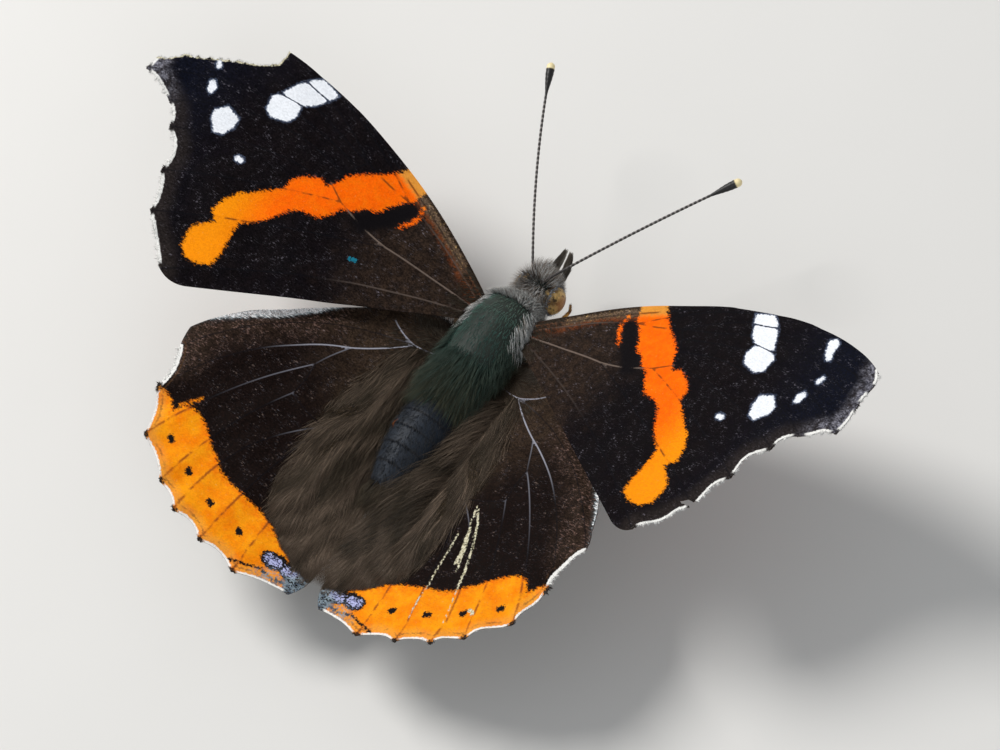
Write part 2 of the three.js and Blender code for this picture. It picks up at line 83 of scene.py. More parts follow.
# How each wing is set on its hinge, in degrees: lift raises the outer end, twist raises the front
# edge and sweep turns the wing forwards.
FORE_HINGE = (1.8, 2.35, 0.0)
HIND_HINGE = (1.8, -1.9, -1.0)
WING_SETS = {
    "forewing_left": (18.7, 2.0, -0.9),
    "forewing_right": (19.4, 1.4, -2.6),
    "hindwing_left": (15.4, -0.6, 0.0),
    "hindwing_right": (16.2, -1.5, 2.3),
}
WING_ARCH = 0.35
WING_GRAIN = 0.19  # spacing of the points of a wing's skin
RIM_ROOM = 0.09  # how far its inner points stay from its rim
VEIN_ROOM = 0.1  # and from its veins
RIM_STEP = 0.12  # spacing along the outer edge
EDGE_STEP = 0.15  # along the other edges
VEIN_STEP = 0.2  # along the veins
WING_HALF = 0.045  # half the thickness of a wing between its veins
VEIN_RISE = 0.075
VEIN_WIDTH = 0.085
EDGE_RISE = 0.09
EDGE_WIDTH = 0.3
SAG = 0.11  # how far the membrane hangs between two veins
SAG_WIDTH = 0.9
RIPPLE = 0.05
RIM_CURL = 0.12
RIM_CURL_WIDTH = 1.2
INNER_LIFT = 0.3  # a hindwing rises towards the body
FRONT_DROP = 0.28  # and its front edge bends down

# A wing's map: the plan from its low corner, drawn twice side by side
MAP_CORNER = (-2.5, -22)
MAP_SPAN = 33
MAP_SIZE = (0.46, 0.9)
UPPER_PLACE, LOWER_PLACE = (0.02, 0.04), (0.52, 0.04)
MAP_EDGE = 0.02  # the bare edge of every other map
TUFT_PATCH = 0.003  # the place of one tuft on a map

# A wing is drawn flat, u outwards and v forwards. A line joins two named points, and its bow is the
# height of its arc to the left, as a share of its length. Veins are written as lines, and each edge
# as its points with the bows between them.
FOREWING = {
    "span": 29,
    "points": {
        "costaRoot": (0.4, 1.1), "subcostaRoot": (0.4, 0.7), "radiusRoot": (0.4, 0.3),
        "cubitusRoot": (0.4, -0.1), "analRoot": (0.4, -0.5), "rearRoot": (0.4, -0.9),
        "subcostaEnd": (15.2, 7.2), "radius1End": (18.6, 7.78), "radius2End": (21.6, 8.1),
        "radius3End": (26.5, 7.5), "shoulder": (28.4, 6.8), "radius4End": (29.05, 5.4),
        "radius5End": (29.25, 3.8), "media1End": (29.1, 1.45), "media2End": (26.5, 0.4),
        "media3End": (25.3, -1.2), "cubitus1End": (23.95, -4.1), "cubitus2End": (22.85, -7.0),
        "analEnd": (19.8, -10.15), "rearBend": (17.5, -10.05), "radius1Fork": (8.6, 3.7),
        "cellTop": (12.4, 4.4), "cellUpper": (12.95, 3.7), "cellMiddle": (13.4, 2.8),
        "cellLow": (13.7, 1.7), "radius3Fork": (18.6, 6.05), "radius5Fork": (16.6, 5.5),
        "cubitus1Fork": (12.4, 0.95), "cubitus2Fork": (8.0, 0.0),
    },
    "front": [
        "costaRoot", 0.04, "subcostaEnd", 0.02, "radius1End", 0.02, "radius2End", 0.03,
        "radius3End", 0.04, "shoulder",
    ],
    "outer": [
        "shoulder", 0.1, "radius4End", -0.04, "radius5End", -0.06, "media1End", -0.07, "media2End",
        -0.14, "media3End", -0.19, "cubitus1End", -0.1, "cubitus2End", -0.02, "analEnd",
    ],
    "inner": ["analEnd", 0.13, "rearBend", 0, "rearRoot", 0, "costaRoot"],
    "veins": [
        ("subcostaRoot", "subcostaEnd", 0.015), ("radiusRoot", "radius1Fork", 0.03),
        ("radius1Fork", "cellTop", -0.03), ("radius1Fork", "radius1End", 0.045),
        ("cellTop", "radius2End", 0.04), ("cellTop", "radius5Fork", -0.02),
        ("radius5Fork", "radius3Fork", 0), ("radius3Fork", "radius3End", 0.05),
        ("radius3Fork", "radius4End", 0.06), ("radius5Fork", "radius5End", 0.075),
        ("cellTop", "cellUpper", 0), ("cellUpper", "cellMiddle", 0), ("cellMiddle", "cellLow", 0),
        ("cellUpper", "media1End", 0.11), ("cellMiddle", "media2End", 0.11),
        ("cellLow", "media3End", 0.06), ("cubitusRoot", "cubitus2Fork", 0.01),
        ("cubitus2Fork", "cubitus1Fork", -0.03), ("cubitus1Fork", "cellLow", 0),
        ("cubitus1Fork", "cubitus1End", 0.02), ("cubitus2Fork", "cubitus2End", 0.015),
        ("analRoot", "analEnd", 0.045),
    ],
}
HINDWING = {
    "span": 20,
    "points": {
        "costaRoot": (0.5, 2.5), "subcostaRoot": (0.5, 0.5), "cubitusRoot": (0.5, -0.1),
        "analRoot": (0.5, -0.7), "innerRoot": (0.5, -1.3), "shoulder": (4.1, 2.4),
        "frontBend": (12.4, -3.65),
        "media1End": (14.05, -16.1), "media2End": (11.2, -18.25), "media3End": (9.2, -19.5),
        "cubitus1End": (6.55, -20.25), "cubitus2End": (3.4, -20.8), "analEnd": (-0.7, -19.9),
        "innerBend": (-1.45, -17.8), "innerMiddle": (-1.5, -12.0), "humeralFork": (2.8, -0.15),
        "humeralTip": (4.9, 0.6), "radiusFork": (6.2, -2.85), "mediaFork": (7.5, -5.3),
        "media2Root": (7.5, -7.9), "media3Root": (4.3, -8.7), "cubitus2Fork": (2.5, -5.8),
    },
    "front": [
        "costaRoot", 0.06, "shoulder", 0.01, "frontBend", 0.06, "frontCorner", 0.04, "subcostaEnd",
    ],
    "outer": [
        "subcostaEnd", -0.1, "radiusEnd", -0.07, "media1End", -0.08, "media2End", -0.14,
        "media3End", -0.19, "cubitus1End", -0.16, "cubitus2End", -0.06, "analEnd",
    ],
    "inner": ["analEnd", 0.1, "innerBend", 0.01, "innerMiddle", -0.02, "innerRoot", 0, "costaRoot"],
    "veins": [
        ("subcostaRoot", "humeralFork", -0.05), ("humeralFork", "humeralTip", -0.05),
        ("humeralFork", "subcostaEnd", 0.1), ("humeralFork", "radiusFork", -0.03),
        ("radiusFork", "radiusEnd", 0.09), ("radiusFork", "mediaFork", 0.02),
        ("mediaFork", "media1End", 0.05), ("mediaFork", "media2Root", -0.05),
        ("media2Root", "media2End", 0.05), ("media2Root", "media3Root", 0.05),
        ("media3Root", "media3End", 0.12), ("media3Root", "cubitus1End", 0.03),
        ("cubitusRoot", "cubitus2Fork", 0.05), ("cubitus2Fork", "media3Root", 0.03),
        ("cubitus2Fork", "cubitus2End", 0.02), ("analRoot", "analEnd", 0.05),
    ],
}
# The outer front of each hindwing: spread out on the left, drawn in on the right
HIND_CORNERS = {
    "left": {"frontCorner": (16.2, -7.8), "subcostaEnd": (15.95, -9.4), "radiusEnd": (15.4, -12.8)},
    "right": {"frontCorner": (14.75, -7.7), "subcostaEnd": (15.35, -9.3), "radiusEnd": (14.9, -13.0)},
}
# The left forewing's torn edge and what lay beyond it, and the notch in the right forewing
TORN_EDGE = [
    (21.9, 9.5), (21.6, 7.9), (21.7, 6.9), (22.7, 6.2), (24.7, 5.15), (27.5, 3.8), (28.3, 3.0),
    (30.5, 1.6),
]
LOST_TIP = [(33, 1.6), (33, 9.5)]
NOTCH = [(23.2, -6.6), (22.1, -6.75), (21.75, -7.0), (22.0, -7.2), (22.5, -7.15), (23.2, -7.4)]
CUT_STEP = 0.22
CUT_WANDER = 0.05
BARE_WIDTH = 0.09  # of the pale hem along the tear

# Markings on a wing's flat plan: an area is a closed outline, a stroke is a line of a given radius.
NO_MARK = -9.0
FORE_BAND = [
    (7.7, 6.4), (7.7, 5.2), (8.15, 4.55), (8.15, 4.0), (8.8, 3.55), (9.4, 2.75), (9.9, 1.85),
    (10.6, 1.65), (11.4, 0.85), (12.1, 0.5), (12.5, -0.2), (13.2, -0.95), (14.4, -1.1),
    (15.0, -1.6), (15.8, -2.9), (16.5, -3.7), (17.3, -4.4), (17.2, -5.6), (17.0, -6.9),
    (17.1, -7.9), (18.0, -8.4), (18.9, -8.45), (19.6, -7.8), (19.85, -6.85), (19.75, -6.2),
    (18.7, -5.15), (19.35, -4.5), (19.1, -3.4), (18.6, -2.6), (17.9, -2.0), (17.0, -1.2),
    (16.2, -0.5), (16.1, 0.5), (15.5, 1.1), (14.5, 1.6), (13.9, 1.35), (13.5, 1.9), (13.1, 2.8),
    (12.25, 3.55), (11.4, 4.1), (10.4, 5.0), (9.9, 5.6), (9.7, 7.0),
]
CELL_SPOT = [
    (7.5, 3.2), (7.75, 3.75), (8.45, 3.8), (9.1, 2.85), (10.0, 2.1), (10.6, 1.45), (11.1, 0.8),
    (10.9, 0.1), (10.1, -0.2), (9.3, 0.75), (8.6, 1.4), (8.15, 2.1),
]
CELL_SLIVER = [(8.1, 1.85), (7.6, 2.45), (7.35, 3.05), (7.5, 3.9)]
WHITE_BAR = [
    (16.9, 7.35), (17.7, 7.6), (18.5, 7.75), (19.2, 7.2), (19.75, 6.5), (20.3, 5.4), (20.8, 4.7),
    (20.6, 3.7), (20.0, 3.35), (18.8, 3.65), (18.45, 4.35), (18.6, 5.2), (17.8, 5.85), (17.2, 6.75),
]
BAR_LINES = [[(18.2, 5.3), (20.6, 5.15)], [(17.1, 6.6), (19.5, 6.95)]]
WHITE_SPOTS = [
    [(23.45, 1.6), (22.8, 2.35), (21.65, 2.0), (21.6, 1.2), (21.95, 0.35), (22.6, 0.15), (23.35, 1.0)],
    [(24.2, 3.0), (24.7, 3.45), (25.0, 3.3), (24.8, 2.6), (24.4, 2.35)],
    [(23.6, 7.5), (24.2, 7.8), (24.66, 7.5), (24.6, 6.8), (24.95, 6.1), (24.45, 6.0), (23.9, 6.7)],
]
WHITE_DOTS = [([(25.05, 4.4), (25.25, 4.75)], 0.19), ([(19.85, -0.45), (20.05, -0.45)], 0.25)]
BLUE_DOT = ([(9.2, -1.95), (9.5, -2.05)], 0.15)
# On the forewing's lower face, whose patterns are read from a plan this far above that of the upper
BLUE_RING = (14.6, 4.0)
BLUE_RING_RADIUS = 0.9
UNDER_SHIFT = 5.0
HIND_BORDER = [
    (16.4, -12.7), (14.95, -12.75), (14.1, -12.9), (13.5, -13.6), (12.9, -12.85), (12.3, -12.65),
    (11.45, -12.9), (10.9, -13.25), (9.9, -14.1), (9.1, -14.6), (8.2, -15.3), (6.9, -15.7), (4.4, -16.1),
    (3.0, -16.6), (1.7, -17.3), (0.7, -17.9), (0.5, -18.9), (-0.1, -19.3), (-0.3, -22),
    (18, -22), (18, -12),
]
BORDER_SMEAR = [(13.3, -13.0), (12.8, -12.4), (12.35, -11.8)]
HIND_DOTS = [(12.28, -15.35), (9.9, -16.6), (7.4, -17.6), (4.6, -18.15)]
HIND_BLUES = [([(1.9, -18.5), (1.45, -18.55), (1.15, -18.4)], 0.27),
              ([(0.4, -18.6), (0.0, -18.65), (-0.35, -18.5)], 0.22)]
# The painted reflection along a hindwing's front edge, a grey sheen with white glints: how wide, and
# where it starts and ends
PAINTED_SHEEN_WIDTHS = {"left": 0.72, "right": 0.36}
PAINTED_SHEEN_REACH = (8.2, 17.0)
MARGIN_LINE = [(4.2, -20.1), (2.98, -19.75), (1.9, -19.45), (0.9, -19.6), (-0.2, -19.4)]
ANAL_EDGE = [(0.9, -20.3), (-0.7, -19.9), (-1.5, -18.6)]
DOWN_ZONE = [
    (-2.5, -0.5), (2.4, 0.0), (3.6, -3.0), (4.4, -6.2), (4.4, -9.6), (4.2, -13.2), (3.5, -15.8),
    (2.6, -17.6), (0.5, -18.4), (-2.5, -18.8),
]
# The veins painted pale, as a painted highlight along their ridges, by their place in the list: how
# pale, and from where to where that fades
PAINTED_VEIN_HIGHLIGHTS = {
    True: {1: (0.4, 6, 9), 16: (0.95, 8, 12), 17: (0.95, 11, 15), 18: (0.6, 13, 16), 21: (0.5, 7, 12)},
    False: {
        0: (1.0, 3, 9), 1: (0.9, 4, 6), 2: (0.1, 3, 6), 3: (1.0, 8, 11), 4: (0.95, 8, 13.5),
        5: (0.4, 7, 10), 6: (0.4, 10, 17), 8: (0.3, 10, 13), 10: (0.45, 10, 13.5), 11: (0.4, 9.5, 13),
        12: (0.1, 3, 6),
    },
}
BESIDE_VEIN = 0.5
REAR_VEIN = 21
# The right forewing's rear vein keeps less of that painted highlight
REAR_VEIN_RIGHT_HIGHLIGHT = 0.22  # how pale that vein is on the right forewing
SCARS = [
    ([(5.64, -8.95), (5.85, -9.59), (6.52, -11.35)], 0.06),
    ([(6.45, -11.25), (6.9, -12.5), (7.0, -13.4)], 0.12),
    ([(6.3, -10.6), (7.0, -12.1), (7.5, -13.96)], 0.07),
    ([(5.87, -9.14), (6.55, -10.05), (7.51, -11.95), (8.06, -13.46), (8.37, -15.11)], 0.08),
    ([(8.06, -13.46), (8.3, -14.8)], 0.1),
    ([(8.37, -15.11), (8.64, -16.1), (9.06, -17.78)], 0.05),
    ([(5.67, -11.3), (5.92, -13.35), (6.17, -15.54), (6.18, -16.79), (6.31, -18.33)], 0.06),
    ([(10.28, -16.2), (10.65, -16.3), (10.75, -16.5)], 0.13),
]


def turned(values, degrees, axis):
    """Points turned about one of the axes."""
    a = math.radians(degrees)
    first, second = [k for k in range(3) if k != axis]
    if axis == 1:
        first, second = second, first
    out = values.copy()
    out[..., first] = values[..., first] * math.cos(a) - values[..., second] * math.sin(a)
    out[..., second] = values[..., first] * math.sin(a) + values[..., second] * math.cos(a)
    return out


def drawn(low, high, like):
    """An even draw for each of these."""
    return rng.uniform(low, high, len(like))


def unit(vectors):
    return vectors / np.maximum(np.linalg.norm(vectors, axis=-1, keepdims=True), 1e-9)


def smooth_step(low, high, values):
    """0 at low, 1 at high and smooth between them, whichever is the greater."""
    t = np.clip((values - low) / (high - low), 0, 1)
    return t * t * (3 - 2 * t)


def bell(values, width):
    """1 at nought, falling away smoothly on both sides."""
    return np.exp(-(values / width) ** 2)


def edge_lines(chain):
    """The lines (start, end, bow) of an edge that is written as its points and bows in turn."""
    return list(zip(chain[::2], chain[2::2], chain[1::2]))


def arc(points, line, step):
    """Points along one line of a wing's plan."""
    start, end = np.array(points[line[0]]), np.array(points[line[1]])
    chord = end - start
    count = max(2, round(float(np.linalg.norm(chord)) / step) + 1)
    t = np.linspace(0, 1, count)[:, None]
    return start + chord * t + np.array((-chord[1], chord[0])) * 4 * line[2] * t * (1 - t)


def knots_of(points):
    """How far along their path each of these points is."""
    return np.concatenate([[0], np.cumsum(np.linalg.norm(np.diff(points, axis=0), axis=1))])


def between(t, knots, path):
    """The rows of a path, whose knots are given, at the distances t."""
    return np.stack([np.interp(t, knots, column) for column in path.T], 1)


def segments(lines):
    """The straight stretches of some polylines, as their starts and ends."""
    starts = np.concatenate([np.asarray(line, float)[:-1] for line in lines])
    ends = np.concatenate([np.asarray(line, float)[1:] for line in lines])
    return starts, ends


def distance(places, lines):
    """How far each place on the plan is from the nearest of these polylines."""
    starts, ends = segments(lines)
    way = ends - starts
    long = np.maximum((way ** 2).sum(1), 1e-12)
    nearest = np.full(len(places), np.inf)
    for k in range(0, len(starts), 64):
        a, w, q = starts[k:k + 64], way[k:k + 64], long[k:k + 64]
        off = places[:, None] - a[None]
        t = np.clip((off * w).sum(2) / q, 0, 1)
        gap = np.linalg.norm(off - t[..., None] * w, axis=2)
        nearest = np.minimum(nearest, gap.min(1))
    return nearest


def inside(places, outline):
    ring = np.asarray(outline, float)
    after = np.roll(ring, -1, axis=0)
    x, y = places[:, :1], places[:, 1:]
    spans = (ring[:, 1] > y) != (after[:, 1] > y)
    rise = np.where(after[:, 1] == ring[:, 1], 1e-12, after[:, 1] - ring[:, 1])
    crossing = x < (after[:, 0] - ring[:, 0]) * (y - ring[:, 1]) / rise + ring[:, 0]
    return (spans & crossing).sum(1) % 2 == 1


def area(places, *outlines):
    """Depth inside the nearest outline, negative outside."""
    depth = np.full(len(places), -np.inf)
    for outline in outlines:
        gap = distance(places, [list(outline) + [outline[0]]])
        depth = np.maximum(depth, np.where(inside(places, outline), gap, -gap))
    return depth


def strokes(places, *lines):
    """Depth inside the nearest (line, radius), negative outside."""
    return np.max([radius - distance(places, [line]) for line, radius in lines], axis=0)


class Field:
    """One output of a node. Sums with numbers and other fields add Math nodes."""

    def __init__(self, finish, socket):
        self.finish = finish
        self.socket = socket

    def sum(self, operation, *values):
        return self.finish.node("ShaderNodeMath", {"operation": operation}, dict(enumerate(values)))

    def __add__(self, other):
        return self.sum("ADD", self, other)

    def __sub__(self, other):
        return self.sum("SUBTRACT", self, other)

    def __mul__(self, other):
        return self.sum("MULTIPLY", self, other)

    def __rsub__(self, other):
        return self.sum("SUBTRACT", other, self)

    __radd__ = __add__
    __rmul__ = __mul__

    def apart(self, value):
        """How far it is from a number, either way."""
        return self.sum("ABSOLUTE", self - value)

    def step(self, low, high):
        """0 below low, 1 above high and a smooth rise between."""
        settings = {"interpolation_type": "SMOOTHSTEP"}
        inputs = {"Value": self, "From Min": low, "From Max": high}
        return self.finish.node("ShaderNodeMapRange", settings, inputs)

    def fall(self, low, high):
        """1 below low and 0 above high."""
        return 1 - self.step(low, high)


class Finish:
    """A material: one Principled shader, and the nodes that feed it."""

    def __init__(self, name, **constants):
        self.material = bpy.data.materials.new(name)
        self.material.use_nodes = True
        self.tree = self.material.node_tree
        self.shader = next(n for n in self.tree.nodes if n.type == "BSDF_PRINCIPLED")
        for socket, value in constants.items():
            self.shader.inputs[socket.replace("_", " ")].default_value = value

    def node(self, kind, settings, inputs, output=0):
        made = self.tree.nodes.new(kind)
        for key, setting in settings.items():
            setattr(made, key, setting)
        for key, value in inputs.items():
            if isinstance(value, Field):
                self.tree.links.new(value.socket, made.inputs[key])
            else:
                made.inputs[key].default_value = value
        return Field(self, made.outputs[output])

    def feed(self, **fields):
        for socket, field in fields.items():
            self.tree.links.new(field.socket, self.shader.inputs[socket.replace("_", " ")])

    def attribute(self, name, output="Fac"):
        return self.node("ShaderNodeAttribute", {"attribute_name": name}, {}, output)

    def place(self):
        return self.node("ShaderNodeTexCoord", {}, {}, "Object")

    def scaled(self, vector, factors):
        return self.node("ShaderNodeVectorMath", {"operation": "MULTIPLY"}, {0: vector, 1: factors})

    def noise(self, vector, scale, detail=3.0, rough=0.55):
        inputs = {"Vector": vector, "Scale": scale, "Detail": detail, "Roughness": rough}
        return self.node("ShaderNodeTexNoise", {}, inputs)

    def cells(self, vector, scale, output="Distance"):
        return self.node("ShaderNodeTexVoronoi", {}, {"Vector": vector, "Scale": scale}, output)

    def grey(self, colour):
        return self.node("ShaderNodeSeparateColor", {}, {0: colour}, 0)

    def mix(self, share, first, second):
        """first where share is 0 and second where it is 1, as colours."""
        first = first if isinstance(first, Field) else (*first, 1.0)
        second = second if isinstance(second, Field) else (*second, 1.0)
        return self.node("ShaderNodeMix", {"data_type": "RGBA"}, {0: share, 6: first, 7: second}, 2)

    def shade(self, colour, factor):
        """The colour made darker or lighter by a field."""
        inputs = {0: 1.0, 6: colour, 7: factor}
        return self.node("ShaderNodeMix", {"data_type": "RGBA", "blend_type": "MULTIPLY"}, inputs, 2)

    def lock_tones(self, colour, grain, middle):
        """The colour with each lock a little darker or lighter than the next."""
        tone = self.attribute("shade") * grain + middle
        tones = self.node("ShaderNodeCombineColor", {}, dict.fromkeys(range(3), tone))
        return self.shade(colour, tones)

    def bump(self, height, metres, strength=1.0, under=None):
        inputs = {"Height": height, "Distance": metres, "Strength": strength}
        if under is not None:
            inputs["Normal"] = under
        return self.node("ShaderNodeBump", {}, inputs)


class Layers:
    """A colour built up in layers, each laid over the last where its share is 1."""

    def __init__(self, finish, colour):
        self.finish = finish
        self.colour = colour

    def lay(self, share, colour):
        self.colour = self.finish.mix(share, self.colour, colour)

    def shade(self, factor):
        self.colour = self.finish.shade(self.colour, factor)


def row(points):
    """Body millimetres as metres in the part's frame."""
    return np.asarray(points, float) * MM + HINGE_LINE


def piece(name, points, faces, finish, uv=None, fields=None, sharp=None):
    """A mesh piece that rides on the body: points in body millimetres, faces as triangles."""
    mesh = bpy.data.meshes.new(name)
    faces = np.asarray(faces, np.int32)
    mesh.vertices.add(len(points))
    mesh.vertices.foreach_set("co", row(points).astype(np.float32).ravel())
    mesh.loops.add(faces.size)
    mesh.loops.foreach_set("vertex_index", faces.ravel())
    mesh.polygons.add(len(faces))
    mesh.polygons.foreach_set("loop_start", np.arange(len(faces), dtype=np.int32) * 3)
    mesh.polygons.foreach_set("use_smooth", np.ones(len(faces), bool))
    mesh.update(calc_edges=True)
    for key, values in (fields or {}).items():
        kind = "FLOAT_VECTOR" if np.ndim(values) == 2 else "FLOAT"
        layer = mesh.attributes.new(key, kind, "POINT")
        item = "vector" if kind == "FLOAT_VECTOR" else "value"
        layer.data.foreach_set(item, np.ascontiguousarray(values, np.float32).ravel())
    if uv is not None:
        corners = uv[faces.ravel()] if len(uv) == len(points) else uv
        layer = mesh.uv_layers.new(name="OFBake")
        layer.data.foreach_set("uv", np.ascontiguousarray(corners, np.float32).ravel())
    if sharp is not None:
        ends = np.empty(len(mesh.edges) * 2, np.int32)
        mesh.edges.foreach_get("vertices", ends)
        ends = ends.reshape(-1, 2)
        mesh.edges.foreach_set("use_edge_sharp", sharp[ends].all(1))
    mesh.validate()
    mesh.materials.append(finish.material)
    made = bpy.data.objects.new(name, mesh)
    bpy.context.scene.collection.objects.link(made)
    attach(made, "root")
    return made


def tufts(name, roots, ways, normals, lengths, widths, finish, slot, patches, levels=2,
          lift=0.15, droop=0.2, bend=0.0, flat=0.5, taper=0.8, fields=None):
    """Tapered locks with three sides, joined in one piece. Each leaves its root along its way, rises
    by lift, falls back by droop and turns aside by bend over its length, and keeps the place of its
    root on the map."""
    count = len(roots)
    ways, normals = unit(ways), unit(normals)
    sides = unit(np.cross(ways, normals))
    lengths, widths, lifts, droops, bends = (
        np.broadcast_to(values, (count,))[:, None] for values in (lengths, widths, lift, droop, bend)
    )
    per = 3 * levels + 1
    points = np.empty((count, per, 3))
    along = np.empty(per)
    across = np.empty(per)
    for k in range(levels + 1):
        t = k / levels
        aside = sides * bends * t * t
        spine = roots + lengths * (ways * t + normals * (lifts * t - droops * t * t) + aside)
        if k == levels:
            points[:, per - 1] = spine
            along[per - 1], across[per - 1] = 1, 0.5
            continue
        width = widths * (1 - t) ** taper
        points[:, 3 * k] = spine - sides * width / 2
        points[:, 3 * k + 1] = spine + sides * width / 2
        points[:, 3 * k + 2] = spine + normals * width * flat
        along[3 * k:3 * k + 3] = t
        across[3 * k:3 * k + 3] = (0, 1, 0.5)
    one = [(0, 1, 2)]
    for k in range(levels - 1):
        for a, b in ((0, 1), (1, 2), (2, 0)):
            low, high = 3 * k + a, 3 * k + b
            one += [(high, low, low + 3), (high, low + 3, high + 3)]
    top = 3 * (levels - 1)
    one += [(top + b, top + a, per - 1) for a, b in ((0, 1), (1, 2), (2, 0))]
    faces = (np.arange(count)[:, None, None] * per + np.array(one)[None]).reshape(-1, 3)
    patch = np.stack([across, along], 1) * TUFT_PATCH
    uv = (np.asarray(patches)[:, None] + patch[None]).reshape(-1, 2)
    layers = {
        "along": np.tile(along, count),
        "shade": np.repeat(rng.random(count), per),
    }
    for key, values in (fields or {}).items():
        layers[key] = np.repeat(values, per)
    return piece(name, points.reshape(-1, 3), faces, finish, uv, layers)


def frayed(cut):
    """A cut through the membrane, made finer and a little ragged."""
    cut = np.array(cut)
    fine = [cut[:1]]
    for a, b in zip(cut[:-1], cut[1:]):
        steps = max(2, int(np.linalg.norm(b - a) / CUT_STEP))
        fine.append(a + (b - a) * np.linspace(0, 1, steps + 1)[1:, None])
    line = np.concatenate(fine)
    line[1:-1] += rng.normal(0, CUT_WANDER, (len(line) - 2, 2))
    return line


class Wing:
    """One wing: its plan, its gently waved surface and its place on the body."""

    def __init__(self, name):
        self.name = name
        self.fore = name.startswith("forewing")
        self.word = name.split("_")[1]
        self.side = dict(SIDES)[self.word]
        self.design = design = FOREWING if self.fore else HINDWING
        self.hinge = np.array(FORE_HINGE if self.fore else HIND_HINGE)
        self.turn = WING_SETS[name]
        points = dict(design["points"])
        if not self.fore:
            points.update(HIND_CORNERS[self.word])
        self.front, self.outer, self.inner = (
            [arc(points, line, step) for line in edge_lines(design[key])]
            for key, step in (("front", EDGE_STEP), ("outer", RIM_STEP), ("inner", EDGE_STEP))
        )
        self.veins = [arc(points, line, VEIN_STEP) for line in design["veins"]]
        self.bars = [np.linspace(*line, 30) for line in BAR_LINES] if self.fore else []
        self.ends = np.array([points[key] for key in design["outer"][2::2]])
        self.torn = name == "forewing_left"
        if self.fore:
            self.cut_line = frayed(TORN_EDGE if self.torn else NOTCH)
            self.lost = [*self.cut_line, *(LOST_TIP if self.torn else [])]

    def outline(self):
        lines = self.front + self.outer + self.inner
        return np.concatenate([line[:-1] for line in lines])

    def lie(self, plan):
        """Height of the middle of the membrane over the plan, and half its thickness."""
        span = self.design["span"]
        reach = np.hypot(plan[:, 0], plan[:, 1])
        arch = WING_ARCH * np.sin(np.pi * np.minimum(reach / span, 1))
        gap = distance(plan, self.veins)
        front = distance(plan, self.front)
        rim = distance(plan, self.outer)
        fade = smooth_step(0.5, 5, reach)
        hang = -SAG * (1 - bell(gap, SAG_WIDTH)) * fade
        u, v = plan.T
        ripple = RIPPLE * np.sin(u * 1.1 + 1.7 * np.sin(v * 0.7)) * fade
        curl = RIM_CURL * bell(rim, RIM_CURL_WIDTH) * np.sin(u * 1.3 + v * 1.9)
        middle = arch + hang + ripple + curl
        if not self.fore:
            middle += INNER_LIFT * bell(u + 1.4, 1.6)
            middle -= FRONT_DROP * bell(front, 0.9) * smooth_step(4, 8, u)
        near_root = 1 - np.minimum(reach / span, 1)
        half = WING_HALF + VEIN_RISE * (0.1 + near_root) * bell(gap, VEIN_WIDTH)
        half += EDGE_RISE * bell(front, EDGE_WIDTH) * smooth_step(-0.1, 0.7, near_root)
        return middle, half

    def set(self, flat):
        """Flat wing points, u, v and height, at their place on the body."""
        lift, twist, sweep = self.turn
        points = turned(flat, sweep, 2)
        points = turned(points, twist, 0)
        points = turned(points, -lift, 1)
        points = points + self.hinge
        points[..., 0] *= self.side
        return points

    def face(self, plan):
        """Points of the upper face over some places of the plan."""
        middle, half = self.lie(plan)
        return self.set(np.column_stack([plan, middle + half]))

    def direction(self, plan, way):
        """(points, ways, normals) on the upper face, for directions drawn on the plan."""
        level = np.zeros(len(plan))
        start = self.set(np.column_stack([plan, level]))
        ways = self.set(np.column_stack([plan + way, level])) - start
        normals = self.set(np.column_stack([plan, level + 1])) - start
        return self.face(plan), unit(ways), unit(normals)

    def patch(self, plan, place=UPPER_PLACE):
        """Place on the wing's map: the upper face fills its left half, the lower its right."""
        return (plan - MAP_CORNER) / MAP_SPAN * MAP_SIZE + place

    def grid(self):
        """(places, triangles) of the plan, with points along its rim and its veins."""
        ring = self.outline()
        closed = [np.vstack([ring, ring[:1]])]
        low, high = ring.min(0), ring.max(0)
        rows = np.arange(low[1], high[1], WING_GRAIN * 0.866)
        columns = np.arange(low[0], high[0], WING_GRAIN)
        u, v = np.meshgrid(columns, rows)
        u = u + (np.arange(len(rows)) % 2)[:, None] * WING_GRAIN / 2
        field = np.column_stack([u.ravel(), v.ravel()])
        field = field[inside(field, ring)]
        field = field[distance(field, closed) > RIM_ROOM]
        spine = np.unique(np.round(np.concatenate(self.veins + self.bars), 3), axis=0)
        field = field[distance(field, self.veins + self.bars) > VEIN_ROOM]
        spine = spine[distance(spine, closed) > VEIN_ROOM]
        places = np.vstack([ring, spine, field])
        count = len(ring)
        edges = [(k, (k + 1) % count) for k in range(count)]
        if self.fore:
            clear = distance(places, [self.cut_line]) > RIM_ROOM
            places = places[clear | (np.arange(len(places)) < count)]
            start = len(places)
            places = np.vstack([places, self.cut_line])
            edges += [(start + k, start + k + 1) for k in range(len(self.cut_line) - 1)]
        found = delaunay_2d_cdt([Vector(p) for p in places], edges, [list(range(count))], 1, 1e-5)
        spots = np.array([tuple(p) for p in found[0]])
        tris = np.array([f for f in found[2] if len(f) == 3])
        if self.fore:
            tris = tris[~inside(spots[tris].mean(1), self.lost)]
        used = np.unique(tris)
        renumber = np.full(len(spots), -1)
        renumber[used] = np.arange(len(used))
        return spots[used], renumber[tris]


def rim_of(tris):
    """The directed edges round a flat mesh."""
    edges = np.concatenate([tris[:, [0, 1]], tris[:, [1, 2]], tris[:, [2, 0]]])
    keys = {(a, b) for a, b in edges.tolist()}
    return np.array([(a, b) for a, b in keys if (b, a) not in keys])


